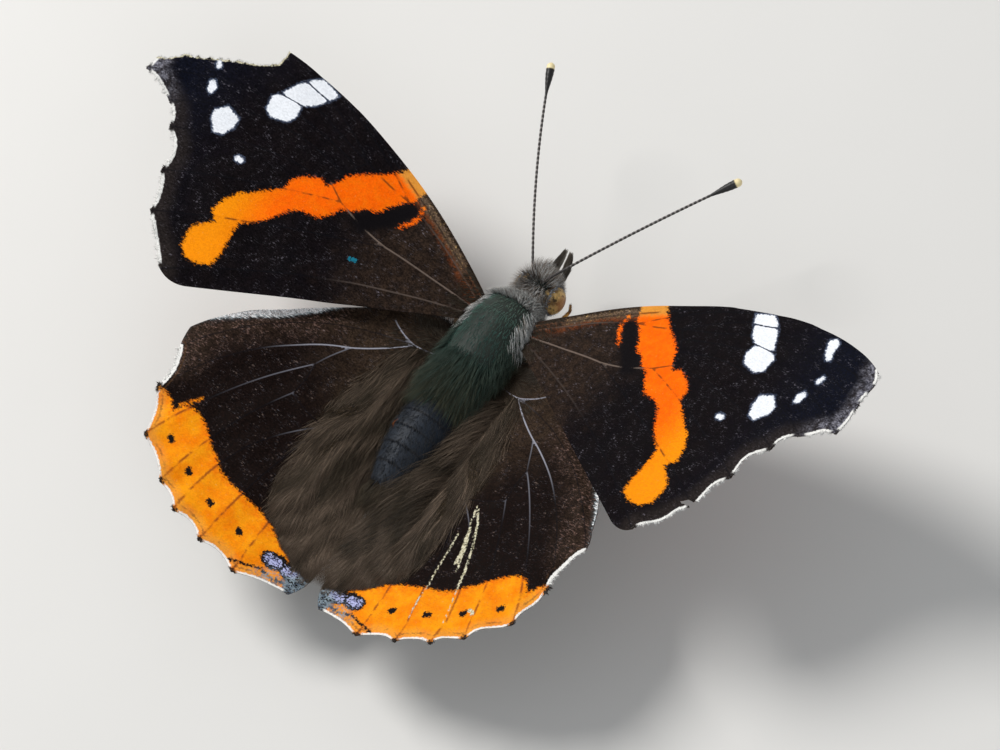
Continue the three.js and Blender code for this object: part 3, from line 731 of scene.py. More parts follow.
def wing_markings(wing, plan):
    """The markings as depths on the plan, for the wing's shader."""
    gap = distance(plan, wing.veins)
    margin = distance(plan, wing.outer)
    front = distance(plan, wing.front)
    ends = np.linalg.norm(plan[:, None] - wing.ends[None], axis=2).min(1)
    fields = {"vein": gap, "margin": margin, "front": front, "tips": ends}
    reach = np.hypot(plan[:, 0], plan[:, 1])
    beside = np.flatnonzero(gap < BESIDE_VEIN)
    nearest = np.argmin([distance(plan[beside], [vein]) for vein in wing.veins], axis=0)
    looks = [PAINTED_VEIN_HIGHLIGHTS[wing.fore].get(k, (0, 1, 2)) for k in range(len(wing.veins))]
    shares = np.array(looks, float)[nearest]
    # Painted highlight along some veins, its share set vein by vein
    if wing.fore and wing.side > 0:
        shares[nearest == REAR_VEIN, 0] = REAR_VEIN_RIGHT_HIGHLIGHT
    fields["pale"] = np.zeros(len(plan))
    fields["pale"][beside] = shares[:, 0] * smooth_step(shares[:, 2], shares[:, 1], reach[beside])
    none = np.full(len(plan), NO_MARK)
    if wing.fore:
        fields["orange"] = np.maximum(area(plan, FORE_BAND), strokes(plan, (CELL_SLIVER, 0.1)))
        fields["black"] = area(plan, CELL_SPOT)
        pale = np.maximum(area(plan, WHITE_BAR, *WHITE_SPOTS), strokes(plan, *WHITE_DOTS))
        fields["white"] = np.minimum(pale, distance(plan, BAR_LINES) * 3 - 0.1)
        fields["blue"] = strokes(plan, BLUE_DOT) if wing.side < 0 else none
        fields["bare"] = BARE_WIDTH - distance(plan, [TORN_EDGE]) if wing.torn else none
    else:
        fields["orange"] = area(plan, HIND_BORDER)
        fields["margin"] = margin - 0.12 * smooth_step(0.6, 0.2, distance(plan, wing.outer[:1]))
        if wing.side < 0:
            fields["orange"] = np.maximum(fields["orange"], strokes(plan, (BORDER_SMEAR, 0.08)))
        dots = strokes(plan, *[([dot, (dot[0] + 0.16, dot[1] + 0.12)], 0.24) for dot in HIND_DOTS])
        rims = strokes(plan, *[(line, radius + 0.3) for line, radius in HIND_BLUES])
        line = strokes(plan, (MARGIN_LINE, 0.1))
        fields["black"] = np.maximum(np.maximum(dots, rims), line)
        fields["blue"] = strokes(plan, *HIND_BLUES)
        fields["white"] = none
        fields["bare"] = strokes(plan, *SCARS) if wing.side > 0 else none
        fields["down"] = area(plan, DOWN_ZONE)
        fields["anal"] = distance(plan, [ANAL_EDGE])
        # The painted reflection along the front edge, tapered at both ends and wider on the left
        start, end = PAINTED_SHEEN_REACH
        taper = np.sin(np.pi * np.clip((reach - start) / (end - start), 0, 1)) ** 0.8
        fields["silver"] = PAINTED_SHEEN_WIDTHS[wing.word] * taper - 0.12 - front
    return fields


def make_wing(wing, finish):
    plan, tris = wing.grid()
    count = len(plan)
    middle, half = wing.lie(plan)
    upper = wing.set(np.column_stack([plan, middle + half]))
    lower = wing.set(np.column_stack([plan, middle - half]))
    rim = rim_of(tris)
    if wing.side < 0:
        tris = tris[:, ::-1]
        rim = rim[:, ::-1]
    a, b = rim[:, 0], rim[:, 1]
    wall = np.concatenate([np.stack([b, a, a + count], 1), np.stack([b, a + count, b + count], 1)])
    faces = np.concatenate([tris, tris[:, ::-1] + count, wall])
    fields = {key: np.tile(values, 2) for key, values in wing_markings(wing, plan).items()}
    fields["under"] = np.repeat((0.0, 1.0), count)
    flat = np.column_stack([plan, np.zeros(count)])
    fields["plan"] = np.vstack([flat, flat + (0, 0, UNDER_SHIFT)])
    uv = np.vstack([wing.patch(plan), wing.patch(plan, LOWER_PLACE)])
    sharp = np.zeros(2 * count, bool)
    sharp[np.unique(rim)] = True
    sharp[np.unique(rim) + count] = True
    both = np.vstack([upper, lower])
    made = piece(f"{wing.name}_scales", both, faces, finish, uv, fields, sharp)
    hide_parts(wing.name)


RUST = (0.15, 0.038, 0.010)  # along the front edge and over the root of a forewing


def wing_finish(name, fore):
    """Rows of fine scales, with the markings laid over them. fray wanders by whole scales, and its
    sum with a depth gives a marking its ragged edge."""
    f = Finish(name, Roughness=0.65, Specular_IOR_Level=0.03)
    plan = f.attribute("plan", "Vector")
    under = f.attribute("under")
    rows = f.scaled(plan, (8.5, 13.0, 1.0))
    scale_height = f.cells(rows, 1.0)
    scale_colour = f.grey(f.cells(rows, 1.0, "Color"))
    fray = (f.noise(plan, 4.5, 4.0, 0.65) - 0.5) * 0.5 + (scale_colour - 0.5) * 0.17
    patch = f.noise(plan, 0.55, 3.0, 0.5)
    worn = f.noise(plan, 1.3, 4.0, 0.6)
    margin, front = f.attribute("margin"), f.attribute("front")

    def blots(scale, low, high, detail=3.0, rough=0.55, stretch=None):
        where = f.scaled(plan, (*stretch, 1.0)) if stretch else plan
        return f.noise(where, scale, detail, rough).step(low, high)

    def mark(key, soft=0.05, wander=1.0, shift=0.0):
        return (f.attribute(key) + shift + fray * wander).step(-soft, soft)

    reach = f.node("ShaderNodeVectorMath", {"operation": "LENGTH"}, {0: plan}, "Value")
    black = (0.0030, 0.0024, 0.0040) if fore else (0.0062, 0.0030, 0.0024)
    dark = f.mix((f.noise(plan, 0.8) - 0.5) * 0.8 + 0.3, black, (0.0090, 0.0054, 0.0045))
    if fore:
        outwards = (reach + (patch - 0.5) * 5).step(6.5, 12.5)
        cloud = blots(1.8, 0.3, 0.7, 5.0)
        brown = f.mix(cloud, (0.014, 0.009, 0.007), (0.031, 0.019, 0.013))
        dark = f.mix(reach.step(20.0, 27.0), dark, (0.0034, 0.0042, 0.0095))
        ground = Layers(f, f.mix(outwards, brown, dark))
        near = reach.fall(8.5, 11.5)
        strip = (front + fray).fall(0.6, 1.1) * near
        hem_brown = f.mix(f.noise(plan, 2.5, 4.0), (0.16, 0.105, 0.066), (0.07, 0.045, 0.028))
        ground.lay(strip * 0.85, hem_brown)
        ground.lay(blots(5.0, 0.56, 0.68, 4.0, 0.7) * strip, (0.42, 0.27, 0.11))
        rust = (front.apart(0.95) + fray * 0.6).fall(0.1, 0.38)
        rust = rust * blots(2.2, 0.36, 0.6, 4.0, 0.65)
        ground.lay(rust * near * 0.75, RUST)
        glow = (front + fray).fall(0.9, 1.7) * reach.fall(1.6, 4.2)
        ground.lay(glow * 0.6, RUST)
        edge = (front + fray * 0.5).fall(0.12, 0.3)
        ground.lay(edge * near * 0.8, (0.012, 0.008, 0.006))
        hem = (margin + fray).fall(0.5, 1.6) * reach.step(17.0, 21.0)
        ground.lay(hem * 0.5, (0.034, 0.026, 0.022))
    else:
        outwards = (reach + (patch - 0.5) * 4).step(4.0, 11.0) * (0.4 + front.step(0.5, 3.5) * 0.6)
        cloud = blots(1.4, 0.3, 0.7, 5.0)
        brown = f.mix(cloud, (0.024, 0.015, 0.010), (0.044, 0.028, 0.018))
        ground = Layers(f, f.mix(outwards, brown, dark))
        down = (f.attribute("down") + fray).step(-1.2, 0.6)
        ground.lay(down, (0.024, 0.017, 0.010))
        # A painted reflection along the front edge: a grey sheen, with painted glints that reach white
        # in its middle
        streak = f.noise(f.scaled(plan, (0.7, 6.0, 1.0)), 1.4, 4.0, 0.7)
        silver = f.attribute("silver") + fray * 0.15 + (streak - 0.5) * 0.8
        ground.lay(silver.step(-0.35, 0.1) * 0.8, (0.065, 0.070, 0.075))
        painted_glint = (silver + (streak - 0.5) * 0.5).step(0.0, 0.2)
        painted_glint_tone = f.mix(painted_glint, (0.40, 0.47, 0.50), (1.0, 1.0, 1.0))
        ground.lay(silver.step(-0.10, 0.08) * 0.97, painted_glint_tone)
        copper = (front + fray * 2).fall(0.8, 3.4) * reach.step(6.5, 9.0) * worn.step(0.36, 0.56)
        dust = blots(3.2, 0.50, 0.62, 6.0, 0.8, (1.0, 2.2))
        ground.lay(copper * dust * 0.65, (0.27, 0.16, 0.13))
    # Scattered scales that have worn pale
    speck = scale_colour.step(0.91, 0.97) * worn.step(0.49, 0.7)
    ground.lay(speck * 0.24, (0.23, 0.21, 0.25) if fore else (0.26, 0.19, 0.16))
    scratch = blots(2.3, 0.56, 0.66, 5.0, 0.75, (1.0, 8.0))
    ground.lay(scratch * worn.step(0.44, 0.6) * 0.48, (0.17, 0.16, 0.19))
    grime = blots(9.0, 0.62, 0.72, 3.0, 0.8) * patch.step(0.4, 0.6)
    ground.lay(grime * 0.35, (0.17, 0.15, 0.14))
    ground.shade(f.mix(scale_colour, (0.55, 0.55, 0.55), (1.45, 1.45, 1.45)))
    line = f.attribute("vein").fall(0.025, 0.085 if fore else 0.07)
    vein_highlight_tone = (0.18, 0.135, 0.11) if fore else (0.36, 0.36, 0.42)
    ground.lay(line * 0.55, (0.004, 0.004, 0.006))
    # Painted highlight along the ridges of some veins
    ground.lay(line * f.attribute("pale") * 0.85, vein_highlight_tone)

    if fore:
        hot = (reach + fray * 2).step(15.5, 19.3)
        warm = Layers(f, f.mix(hot, (0.96, 0.128, 0.001), (0.94, 0.28, 0.003)))
    else:
        hot = blots(0.7, 0.3, 0.7)
        warm = Layers(f, f.mix(hot, (0.87, 0.205, 0.002), (0.93, 0.33, 0.006)))
    warm.lay(blots(1.6, 0.35, 0.8, 4.0) * (0.2 if fore else 0.35), (0.94, 0.34, 0.006))
    warm.lay(blots(5.0, 0.58, 0.72, 5.0, 0.7) * (0.22 if fore else 0.36), (0.95, 0.50, 0.14))
    scuff = blots(1.9, 0.58, 0.68, 5.0, 0.75, (1.0, 6.0))
    warm.lay(scuff * worn.step(0.4, 0.6) * 0.3, (0.50, 0.12, 0.02))
    if fore:
        warm.lay((front + fray).fall(0.45, 1.0) * 0.9, (0.68, 0.30, 0.045))
    else:
        edge = (margin + fray).fall(0.3, 1.0)
        warm.lay(edge * 0.4, (0.72, 0.34, 0.08))
        inner_rim = f.attribute("orange").fall(0.1, 0.8)
        warm.lay(inner_rim * blots(3.0, 0.4, 0.65) * 0.5, (0.80, 0.12, 0.004))
    crossing = blots(1.1, 0.36, 0.56)
    beside = (f.attribute("vein") + fray * 0.2).fall(0.04, 0.17)
    warm.lay(beside * crossing * (0.3 if fore else 0.75), (0.44, 0.10, 0.012))
    warm.lay(line * crossing * (0.7 if fore else 0.45), (0.10, 0.025, 0.005))
    if fore:
        ground.lay(mark("black", 0.3, 1.5), (0.005, 0.004, 0.005))
    teeth = f.noise(f.scaled(plan, (0.9, 5.5, 1.0)), 1.7, 3.0, 0.6) - 0.5
    band = (f.attribute("orange") + fray + teeth * (0.6 if fore else 0.4)).step(-0.13, 0.13)
    ground.lay(band, warm.colour)
    if not fore:
        knots = (f.attribute("tips") + fray).fall(0.2, 0.42)
        ground.lay(knots, (0.02, 0.013, 0.010))
        hem = (margin.apart(0.42) + fray * 0.5).fall(0.03, 0.1)
        ground.lay(hem * blots(1.3, 0.42, 0.6) * 0.5, (0.10, 0.05, 0.02))
        ground.lay(mark("black", 0.05, 0.8), (0.009, 0.007, 0.007))
    milk = f.mix(f.noise(plan, 3.0) * 0.4, (0.88, 0.90, 0.94), (0.72, 0.77, 0.86))
    ground.lay(mark("white", 0.12, 0.6, 0.05) * 0.75, (0.10, 0.13, 0.21))
    ground.lay(mark("white", 0.05, 0.5, -0.04), milk)
    if fore:
        ground.lay(mark("blue", 0.06, 0.9), (0.010, 0.16, 0.24))
        bloom = blots(2.0, 0.35, 0.7, 5.0, 0.7) * reach.step(25.5, 28.5)
        bloom = bloom * margin.fall(0.3, 1.5)
        ground.lay(bloom * 0.8, f.mix(scale_colour, (0.06, 0.06, 0.09), (0.46, 0.46, 0.54)))
    else:
        lilac = f.mix(scale_colour.step(0.2, 0.55), (0.08, 0.08, 0.17), (0.42, 0.44, 0.70))
        ground.lay(mark("blue", 0.1, 1.5), lilac)
        slate = (f.attribute("anal") + fray * 2.5).fall(0.8, 1.9) * scale_colour.step(0.15, 0.6)
        slate_tone = f.mix(worn.step(0.4, 0.6), (0.09, 0.12, 0.16), (0.26, 0.33, 0.38))
        ground.lay(slate * 0.8, slate_tone)
    chips = blots(3.4, 0.28, 0.36, 3.0, 0.7)
    white_edge = (0.13, 0.21) if fore else (0.10, 0.17)
    bays = (margin + fray * 0.35).fall(*white_edge) * f.attribute("tips").step(0.3, 0.55) * chips
    ground.lay(bays * 0.95, (0.90, 0.89, 0.86))
    bared = f.mix(blots(6.0, 0.35, 0.6), (0.32, 0.28, 0.17), (0.72, 0.68, 0.50))
    torn = f.attribute("bare") + (f.noise(plan, 5.0, 4.0, 0.7) - 0.5) * 0.4
    ground.lay(torn.step(-0.03, 0.03), bared)

    # The lower face: marbled browns, with the forewing's band and spots showing through
    marble = blots(1.1, 0.38, 0.62, 6.0, 0.7)
    cloudy = Layers(f, f.mix(marble, (0.016, 0.011, 0.009), (0.13, 0.085, 0.055)))
    cloudy.lay(blots(0.7, 0.55, 0.7, 5.0) * 0.6, (0.24, 0.22, 0.21))
    if fore:
        cloudy.colour = f.mix(reach.step(16.0, 21.0), (0.014, 0.011, 0.011), cloudy.colour)
        cloudy.lay(mark("orange"), (0.72, 0.12, 0.04))
        cloudy.lay(mark("white", 0.04, 0.35), (0.74, 0.74, 0.76))
        middle = {0: plan, 1: (*BLUE_RING, UNDER_SHIFT)}
        off = f.node("ShaderNodeVectorMath", {"operation": "DISTANCE"}, middle, "Value")
        ring = off.apart(BLUE_RING_RADIUS).fall(0.1, 0.25)
        cloudy.lay(ring * 0.8, (0.05, 0.16, 0.38))
    else:
        eyes = margin.apart(2.4).fall(0.2, 0.6)
        cloudy.lay(eyes * f.attribute("vein").step(0.3, 0.7) * 0.6, (0.02, 0.025, 0.035))
        pale = front.fall(0.6, 2.0) * reach.step(6.0, 9.0) * reach.fall(12.0, 14.5)
        cloudy.lay(pale * 0.7, (0.42, 0.36, 0.26))
    cloudy.lay(line * 0.5, (0.16, 0.12, 0.08))
    colour = f.mix(under, ground.colour, cloudy.colour)
    colour = f.shade(colour, f.mix(scale_colour, (0.90, 0.90, 0.90), (1.07, 1.07, 1.07)))
    rough = 0.58 + (scale_colour - 0.5) * 0.25 + patch * 0.12
    f.feed(Base_Color=colour, Roughness=rough)
    fine = f.bump(scale_height, 0.00002, 0.5)
    cross = f.cells(f.scaled(plan, (1.6, 26.0, 1.0)), 1.0)
    f.feed(Normal=f.bump(cross, 0.00001, 0.35, fine))
    return f


def hair_finish(name, root, tip, gloss=0.5, grain=0.5, light=None, green_tone_and_painted_rim=None, **constants):
    """Locks that are dark at the root, each a little lighter or darker than the next. Where a light
    tone or a second tone is given, the locks' own share of it mixes it in: on the thorax fur that
    second tone is a painted rim light, on the long hair a green tone."""
    f = Finish(name, Specular_IOR_Level=0.16, **constants)
    hair = Layers(f, f.mix(f.attribute("along"), root, tip))
    if light is not None:
        hair.lay(f.attribute("pale"), light)
    if green_tone_and_painted_rim is not None:
        hair.lay(f.attribute("green_tone_and_painted_rim"), green_tone_and_painted_rim)
    f.feed(Base_Color=f.lock_tones(hair.colour, grain, 1 - grain / 2))
    f.feed(Roughness=f.attribute("shade") * 0.2 + (gloss - 0.1))
    return f


# The body from rear to front: [y, half width, middle height, half height]
BODY = np.array([
    (-13.4, 0.12, -0.70, 0.12), (-13.15, 0.5, -0.68, 0.48), (-12.1, 1.05, -0.62, 1.0),
    (-10.8, 1.5, -0.53, 1.45), (-9.5, 1.85, -0.47, 1.8), (-8.1, 2.05, -0.42, 2.0),
    (-6.8, 2.08, -0.38, 2.02), (-5.5, 1.9, -0.35, 1.85), (-4.4, 1.5, -0.35, 1.45),
    (-4.0, 1.36, -0.35, 1.3), (-3.6, 1.5, -0.35, 1.5), (-2.8, 1.9, -0.33, 1.98),
    (-1.5, 2.3, -0.3, 2.35), (0.3, 2.5, -0.3, 2.52), (2.3, 2.4, -0.35, 2.42),
    (3.7, 2.0, -0.55, 2.0), (4.6, 1.35, -0.9, 1.3), (5.0, 0.95, -1.1, 0.95),
    (5.4, 1.0, -1.25, 1.05), (5.9, 1.1, -1.3, 1.18), (6.6, 1.1, -1.42, 1.25),
    (7.3, 0.92, -1.48, 1.1), (7.8, 0.58, -1.55, 0.75), (8.0, 0.12, -1.58, 0.15),
])
BODY_STEP = 0.08
BODY_SIDES = 120
WAIST = -4.1
ABDOMEN_END = -13.4
SEGMENTS = 7
EYE = (1.05, 6.3, -1.7)
EYE_RADII = (0.9, 1.05, 1.15)
EYE_ROWS, EYE_SIDES = 40, 64
EYE_RIM_SCALES = 420
LEG_PATHS = {
    "midleg": [
        (1.3, 1.6, -1.9, 0.42), (1.9, 1.95, -2.9, 0.44), (2.3, 2.2, -3.6, 0.36),
        (3.4, 2.55, -3.85, 0.3), (4.6, 2.85, -4.0, 0.24), (5.5, 3.0, -4.8, 0.2),
        (6.1, 3.15, GROUND + 0.6, 0.19), (6.4, 3.5, GROUND + 0.24, 0.18),
        (7.0, 5.1, GROUND + 0.18, 0.15), (7.1, 5.65, GROUND + 0.16, 0.14),
    ],
    "hindleg": [
        (1.3, -1.2, -1.9, 0.42), (1.8, -1.7, -2.9, 0.44), (2.2, -2.0, -3.6, 0.36),
        (3.7, -3.6, -3.95, 0.3), (4.9, -4.9, -4.1, 0.24), (5.8, -6.0, -5.0, 0.2),
        (6.5, -7.2, GROUND + 0.6, 0.19), (6.85, -7.9, GROUND + 0.24, 0.18),
        (7.6, -9.9, GROUND + 0.18, 0.15), (7.8, -10.45, GROUND + 0.16, 0.14),
    ],
    "foreleg": [
        (0.9, 4.0, -1.9, 0.3), (1.3, 5.0, -3.1, 0.3), (1.75, 6.0, -3.4, 0.24),
        (1.7, 6.9, -3.7, 0.18), (1.2, 7.55, -4.15, 0.12),
    ],
}
FORELEG_THINNING = 0.6
BRISTLES_PER_MM = 60
BRISTLE_WIDTH = 0.028
FOOT_ROOM = 0.1  # no bristle starts nearer to the ground
PALP_PATH = [(0.42, 7.3, -1.95, 0.25), (0.44, 8.1, -2.1, 0.29), (0.42, 8.8, -2.0, 0.27),
             (0.33, 9.35, -1.75, 0.17), (0.25, 9.75, -1.5, 0.05)]
PALP_SCALES = 2600
ANTENNA_ROOT = (0.6, 6.8, -0.1)
ANTENNA_TIPS = {"left": (8.0, 20.4, 2.5), "right": (9.1, 19.0, 2.0)}
ANTENNA_BOWS = {"left": 0.42, "right": -0.2}
ANTENNA_POINTS = 60
SHAFT_RADIUS = 0.09
CLUB_RADIUS = 0.3
CLUB_SHARE = 0.155
RINGS = 46
TONGUE_ROOT = (0, 7.6, -2.4, 0.16)
TONGUE_CENTRE = (7.7, -3.85)
TONGUE_REACH = 0.92
TONGUE_TURNS = 2.3
TONGUE_SPACING = 0.34
TONGUE_RADIUS = 0.13
TONGUE_POINTS = 90


def body_section(y):
    """Half width, middle height and half height of the body's skin at some distances along it."""
    stations = np.arange(BODY[0, 0] - 1, BODY[-1, 0] + 1, 0.05)
    kernel = np.hanning(13) / np.hanning(13).sum()
    found = []
    for k in (1, 2, 3):
        values = np.interp(stations, BODY[:, 0], BODY[:, k])
        found.append(np.interp(y, stations, np.convolve(values, kernel, "same")))
    return found


def segment_phase(y):
    """How far along its abdomen segment each place is, 0 in front and 1 behind."""
    return np.clip((WAIST - y) / (WAIST - ABDOMEN_END) * SEGMENTS, 0, SEGMENTS - 1e-6) % 1


def body_point(y, angle):
    """The skin of the body, by the distance along it and the angle round it."""
    half_width, middle, half_height = body_section(y)
    behind = smooth_step(WAIST + 0.1, WAIST - 0.5, y)
    phase = segment_phase(y)
    fold = 1 + behind * (0.035 * phase ** 2 - 0.035 * smooth_step(0.85, 1.0, phase) - 0.012)
    # Lobes of the flight muscles, and the furrow between them at the rear of the thorax
    muscle = bell(y - 0.8, 2.6) * (1 - behind)
    furrow = bell(angle - np.pi / 2, 0.16)
    lobe = 1 + 0.03 * muscle * np.cos(4 * angle) - 0.04 * muscle * furrow
    x = half_width * fold * lobe * np.cos(angle)
    z = middle + half_height * fold * lobe * np.sin(angle)
    return np.column_stack([x, y, z])


def body_normal(y, angle):
    along = body_point(y + 0.05, angle) - body_point(y - 0.05, angle)
    across = body_point(y, angle + 0.03) - body_point(y, angle - 0.03)
    return unit(np.cross(along, across)), unit(along)


def within_edge(places):
    """Places of a whole map drawn in to leave its bare edge."""
    return places * (1 - 2 * MAP_EDGE) + MAP_EDGE


def body_patch(y, angle):
    around = (angle % (2 * np.pi)) / (2 * np.pi)
    along = (y - BODY[0, 0]) / (BODY[-1, 0] - BODY[0, 0])
    return within_edge(np.column_stack([around, along]))


def ring_faces(rings, sides):
    """Triangles of a tube of rings whose points follow one another, and of its two end hubs."""
    r, s = np.meshgrid(np.arange(rings - 1), np.arange(sides), indexing="ij")
    a, b = r * sides + s, r * sides + (s + 1) % sides
    body = np.concatenate([
        np.stack([a, b, b + sides], -1).reshape(-1, 3),
        np.stack([a, b + sides, a + sides], -1).reshape(-1, 3),
    ])
    spoke = np.arange(sides)
    after = (spoke + 1) % sides
    first, last = np.full(sides, rings * sides), np.full(sides, rings * sides + 1)
    top = (rings - 1) * sides
    ends = [np.stack([first, after, spoke], 1), np.stack([last, top + spoke, top + after], 1)]
    return np.concatenate([body] + ends)


def corner_map(faces, u, v):
    """Places on the map for each corner, with no face wrapped round the seam."""
    corners = np.stack([u[faces], v[faces]], -1)
    wrap = np.ptp(corners[..., 0], axis=1) > 0.5
    corners[wrap, :, 0] += corners[wrap, :, 0] < 0.5
    return within_edge(corners).reshape(-1, 2)


def tube(path, sides=12, step=0.1, rounds=6, ripple=None):
    """(points, faces, places on the map, share along) of a round limb through (x, y, z, radius)."""
    path = np.asarray(path, float)
    knots = knots_of(path[:, :3])
    t = np.linspace(0, knots[-1], max(6, int(knots[-1] / step)))
    spine = between(t, knots, path)
    for _ in range(rounds):
        spine[1:-1] = (spine[:-2] + 2 * spine[1:-1] + spine[2:]) / 4
    share = t / knots[-1]
    radius = spine[:, 3] * (1 if ripple is None else ripple(share))
    closing = np.minimum(t, knots[-1] - t) / np.maximum(spine[:, 3], 1e-6)
    radius = radius * np.sqrt(np.clip(1 - (1 - np.clip(closing, 0.05, 1)) ** 2, 0, 1))
    along = unit(np.gradient(spine[:, :3], axis=0))
    across = np.empty_like(along)
    way = np.cross(along[0], (0.0, 0.0, 1.0))
    if np.linalg.norm(way) < 0.1:
        way = np.array((1.0, 0.0, 0.0))
    for k, ahead in enumerate(along):
        way = way - ahead * way.dot(ahead)
        way = way / np.linalg.norm(way)
        across[k] = way
    over = np.cross(across, along)
    angle = np.arange(sides) / sides * 2 * np.pi
    spokes = across[:, None] * np.cos(angle)[:, None] + over[:, None] * np.sin(angle)[:, None]
    rings = spine[:, None, :3] + spokes * radius[:, None, None]
    points = np.vstack([rings.reshape(-1, 3), spine[0, :3], spine[-1, :3]])
    faces = ring_faces(len(spine), sides)[:, ::-1]
    u = np.append(np.tile(angle / (2 * np.pi), len(spine)), [0.5, 0.5])
    v = np.append(np.repeat(share, sides), [0, 1])
    return points, faces, corner_map(faces, u, v), v


def round_limb(path, knots, t, depth):
    """(roots, ways along, ways out) of locks at chance angles round a limb, at the distances t. depth
    is the share of its radius at which they start."""
    spine = between(t, knots, path)
    along = unit(between(t + 0.05, knots, path[:, :3]) - spine[:, :3] + 1e-9)
    out = rng.normal(0, 1, (len(t), 3))
    out = unit(out - along * (out * along).sum(1)[:, None])
    return spine[:, :3] + out * (spine[:, 3] * depth)[:, None], along, out


def limb_patch(share):
    """Places on a limb's map, a share of the way along it."""
    return np.column_stack([share, rng.random(len(share))]) * 0.9 + 0.04


def outward(points, faces):
    """The faces, turned round if they point into the solid."""
    a, b, c = points[faces[:, 0]], points[faces[:, 1]], points[faces[:, 2]]
    return faces if (a * np.cross(b, c)).sum() > 0 else faces[:, ::-1]


def limb_piece(name, path, finish, slot, **choices):
    points, faces, uv, along = tube(path, **choices)
    turned_faces = outward(points, faces)
    if turned_faces is not faces:
        uv = uv.reshape(-1, 3, 2)[:, ::-1].reshape(-1, 2)
    return piece(name, points, turned_faces, finish, uv, {"along": along})


def mirrored(path, side):
    return [(side * x, *rest) for x, *rest in path]


def make_body(finish):
    stations = np.arange(BODY[0, 0] + 0.02, BODY[-1, 0] - 0.01, BODY_STEP)
    angle = np.arange(BODY_SIDES) / BODY_SIDES * 2 * np.pi
    y, a = (grid.ravel() for grid in np.meshgrid(stations, angle, indexing="ij"))
    tips = [(0, BODY[0, 0], BODY[0, 2]), (0, BODY[-1, 0], BODY[-1, 2])]
    points = np.vstack([body_point(y, a), tips])
    faces = outward(points, ring_faces(len(stations), BODY_SIDES))
    u = np.append(a / (2 * np.pi), [0.5, 0.5])
    v = (points[:, 1] - BODY[0, 0]) / (BODY[-1, 0] - BODY[0, 0])
    fields = {
        "abdomen": smooth_step(WAIST + 0.1, WAIST - 0.4, points[:, 1]),
        "phase": segment_phase(points[:, 1]),
    }
    made = piece("body_skin", points, faces, finish, corner_map(faces, u, v), fields)
    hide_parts("thorax", "head", "abdomen")


def skin_finish():
    f = Finish("body_skin", Roughness=0.6, Specular_IOR_Level=0.25, Sheen_Weight=0.05)
    place = f.place()
    chest = f.mix(f.noise(place, 900.0), (0.010, 0.014, 0.012), (0.028, 0.038, 0.030))
    belly = f.mix(f.noise(place, 1200.0), (0.006, 0.009, 0.014), (0.014, 0.021, 0.034))
    band = f.attribute("phase").step(0.78, 0.96)
    belly = f.mix(band * 0.8, belly, (0.006, 0.006, 0.008))
    f.feed(Base_Color=f.mix(f.attribute("abdomen"), chest, belly))
    grain = f.cells(f.scaled(place, (9000.0, 5000.0, 9000.0)), 1.0)
    f.feed(Normal=f.bump(grain, 0.00003, 0.6), Roughness=f.noise(place, 2500.0) * 0.3 + 0.42)
    return f


def coat(name, count, rear, front, sweep, length, width, finish, slot, keep=None, shares=None,
         **choices):
    """Locks spread evenly over a stretch of the body, each lying along sweep(y, angle): a share of
    the way forwards, round and outwards. keep thins them out and shares gives each its share of the
    finish's other tones."""
    y = rng.uniform(rear, front, count * 4)
    angle = rng.uniform(0, 2 * np.pi, len(y))
    half_width = body_section(y)[0]
    room = half_width / half_width.max()
    if keep is not None:
        room = room * keep(y, angle)
    kept = rng.random(len(y)) < room
    y, angle = y[kept][:count], angle[kept][:count]
    normal, along = body_normal(y, angle)
    around = np.cross(normal, along)
    forwards, round_share, out = (np.broadcast_to(part, y.shape)[:, None] for part in sweep(y, angle))
    way = along * forwards + around * round_share + normal * out
    way = way + rng.normal(0, 0.1, way.shape)
    lengths = length(y, angle) * drawn(0.7, 1.2, y)
    roots = body_point(y, angle) - normal * 0.03
    fields = {key: share(y, angle) for key, share in (shares or {}).items()}
    return tufts(name, roots, way, normal, lengths, width * drawn(0.7, 1.3, y),
                 finish, slot, body_patch(y, angle), fields=fields, **choices)


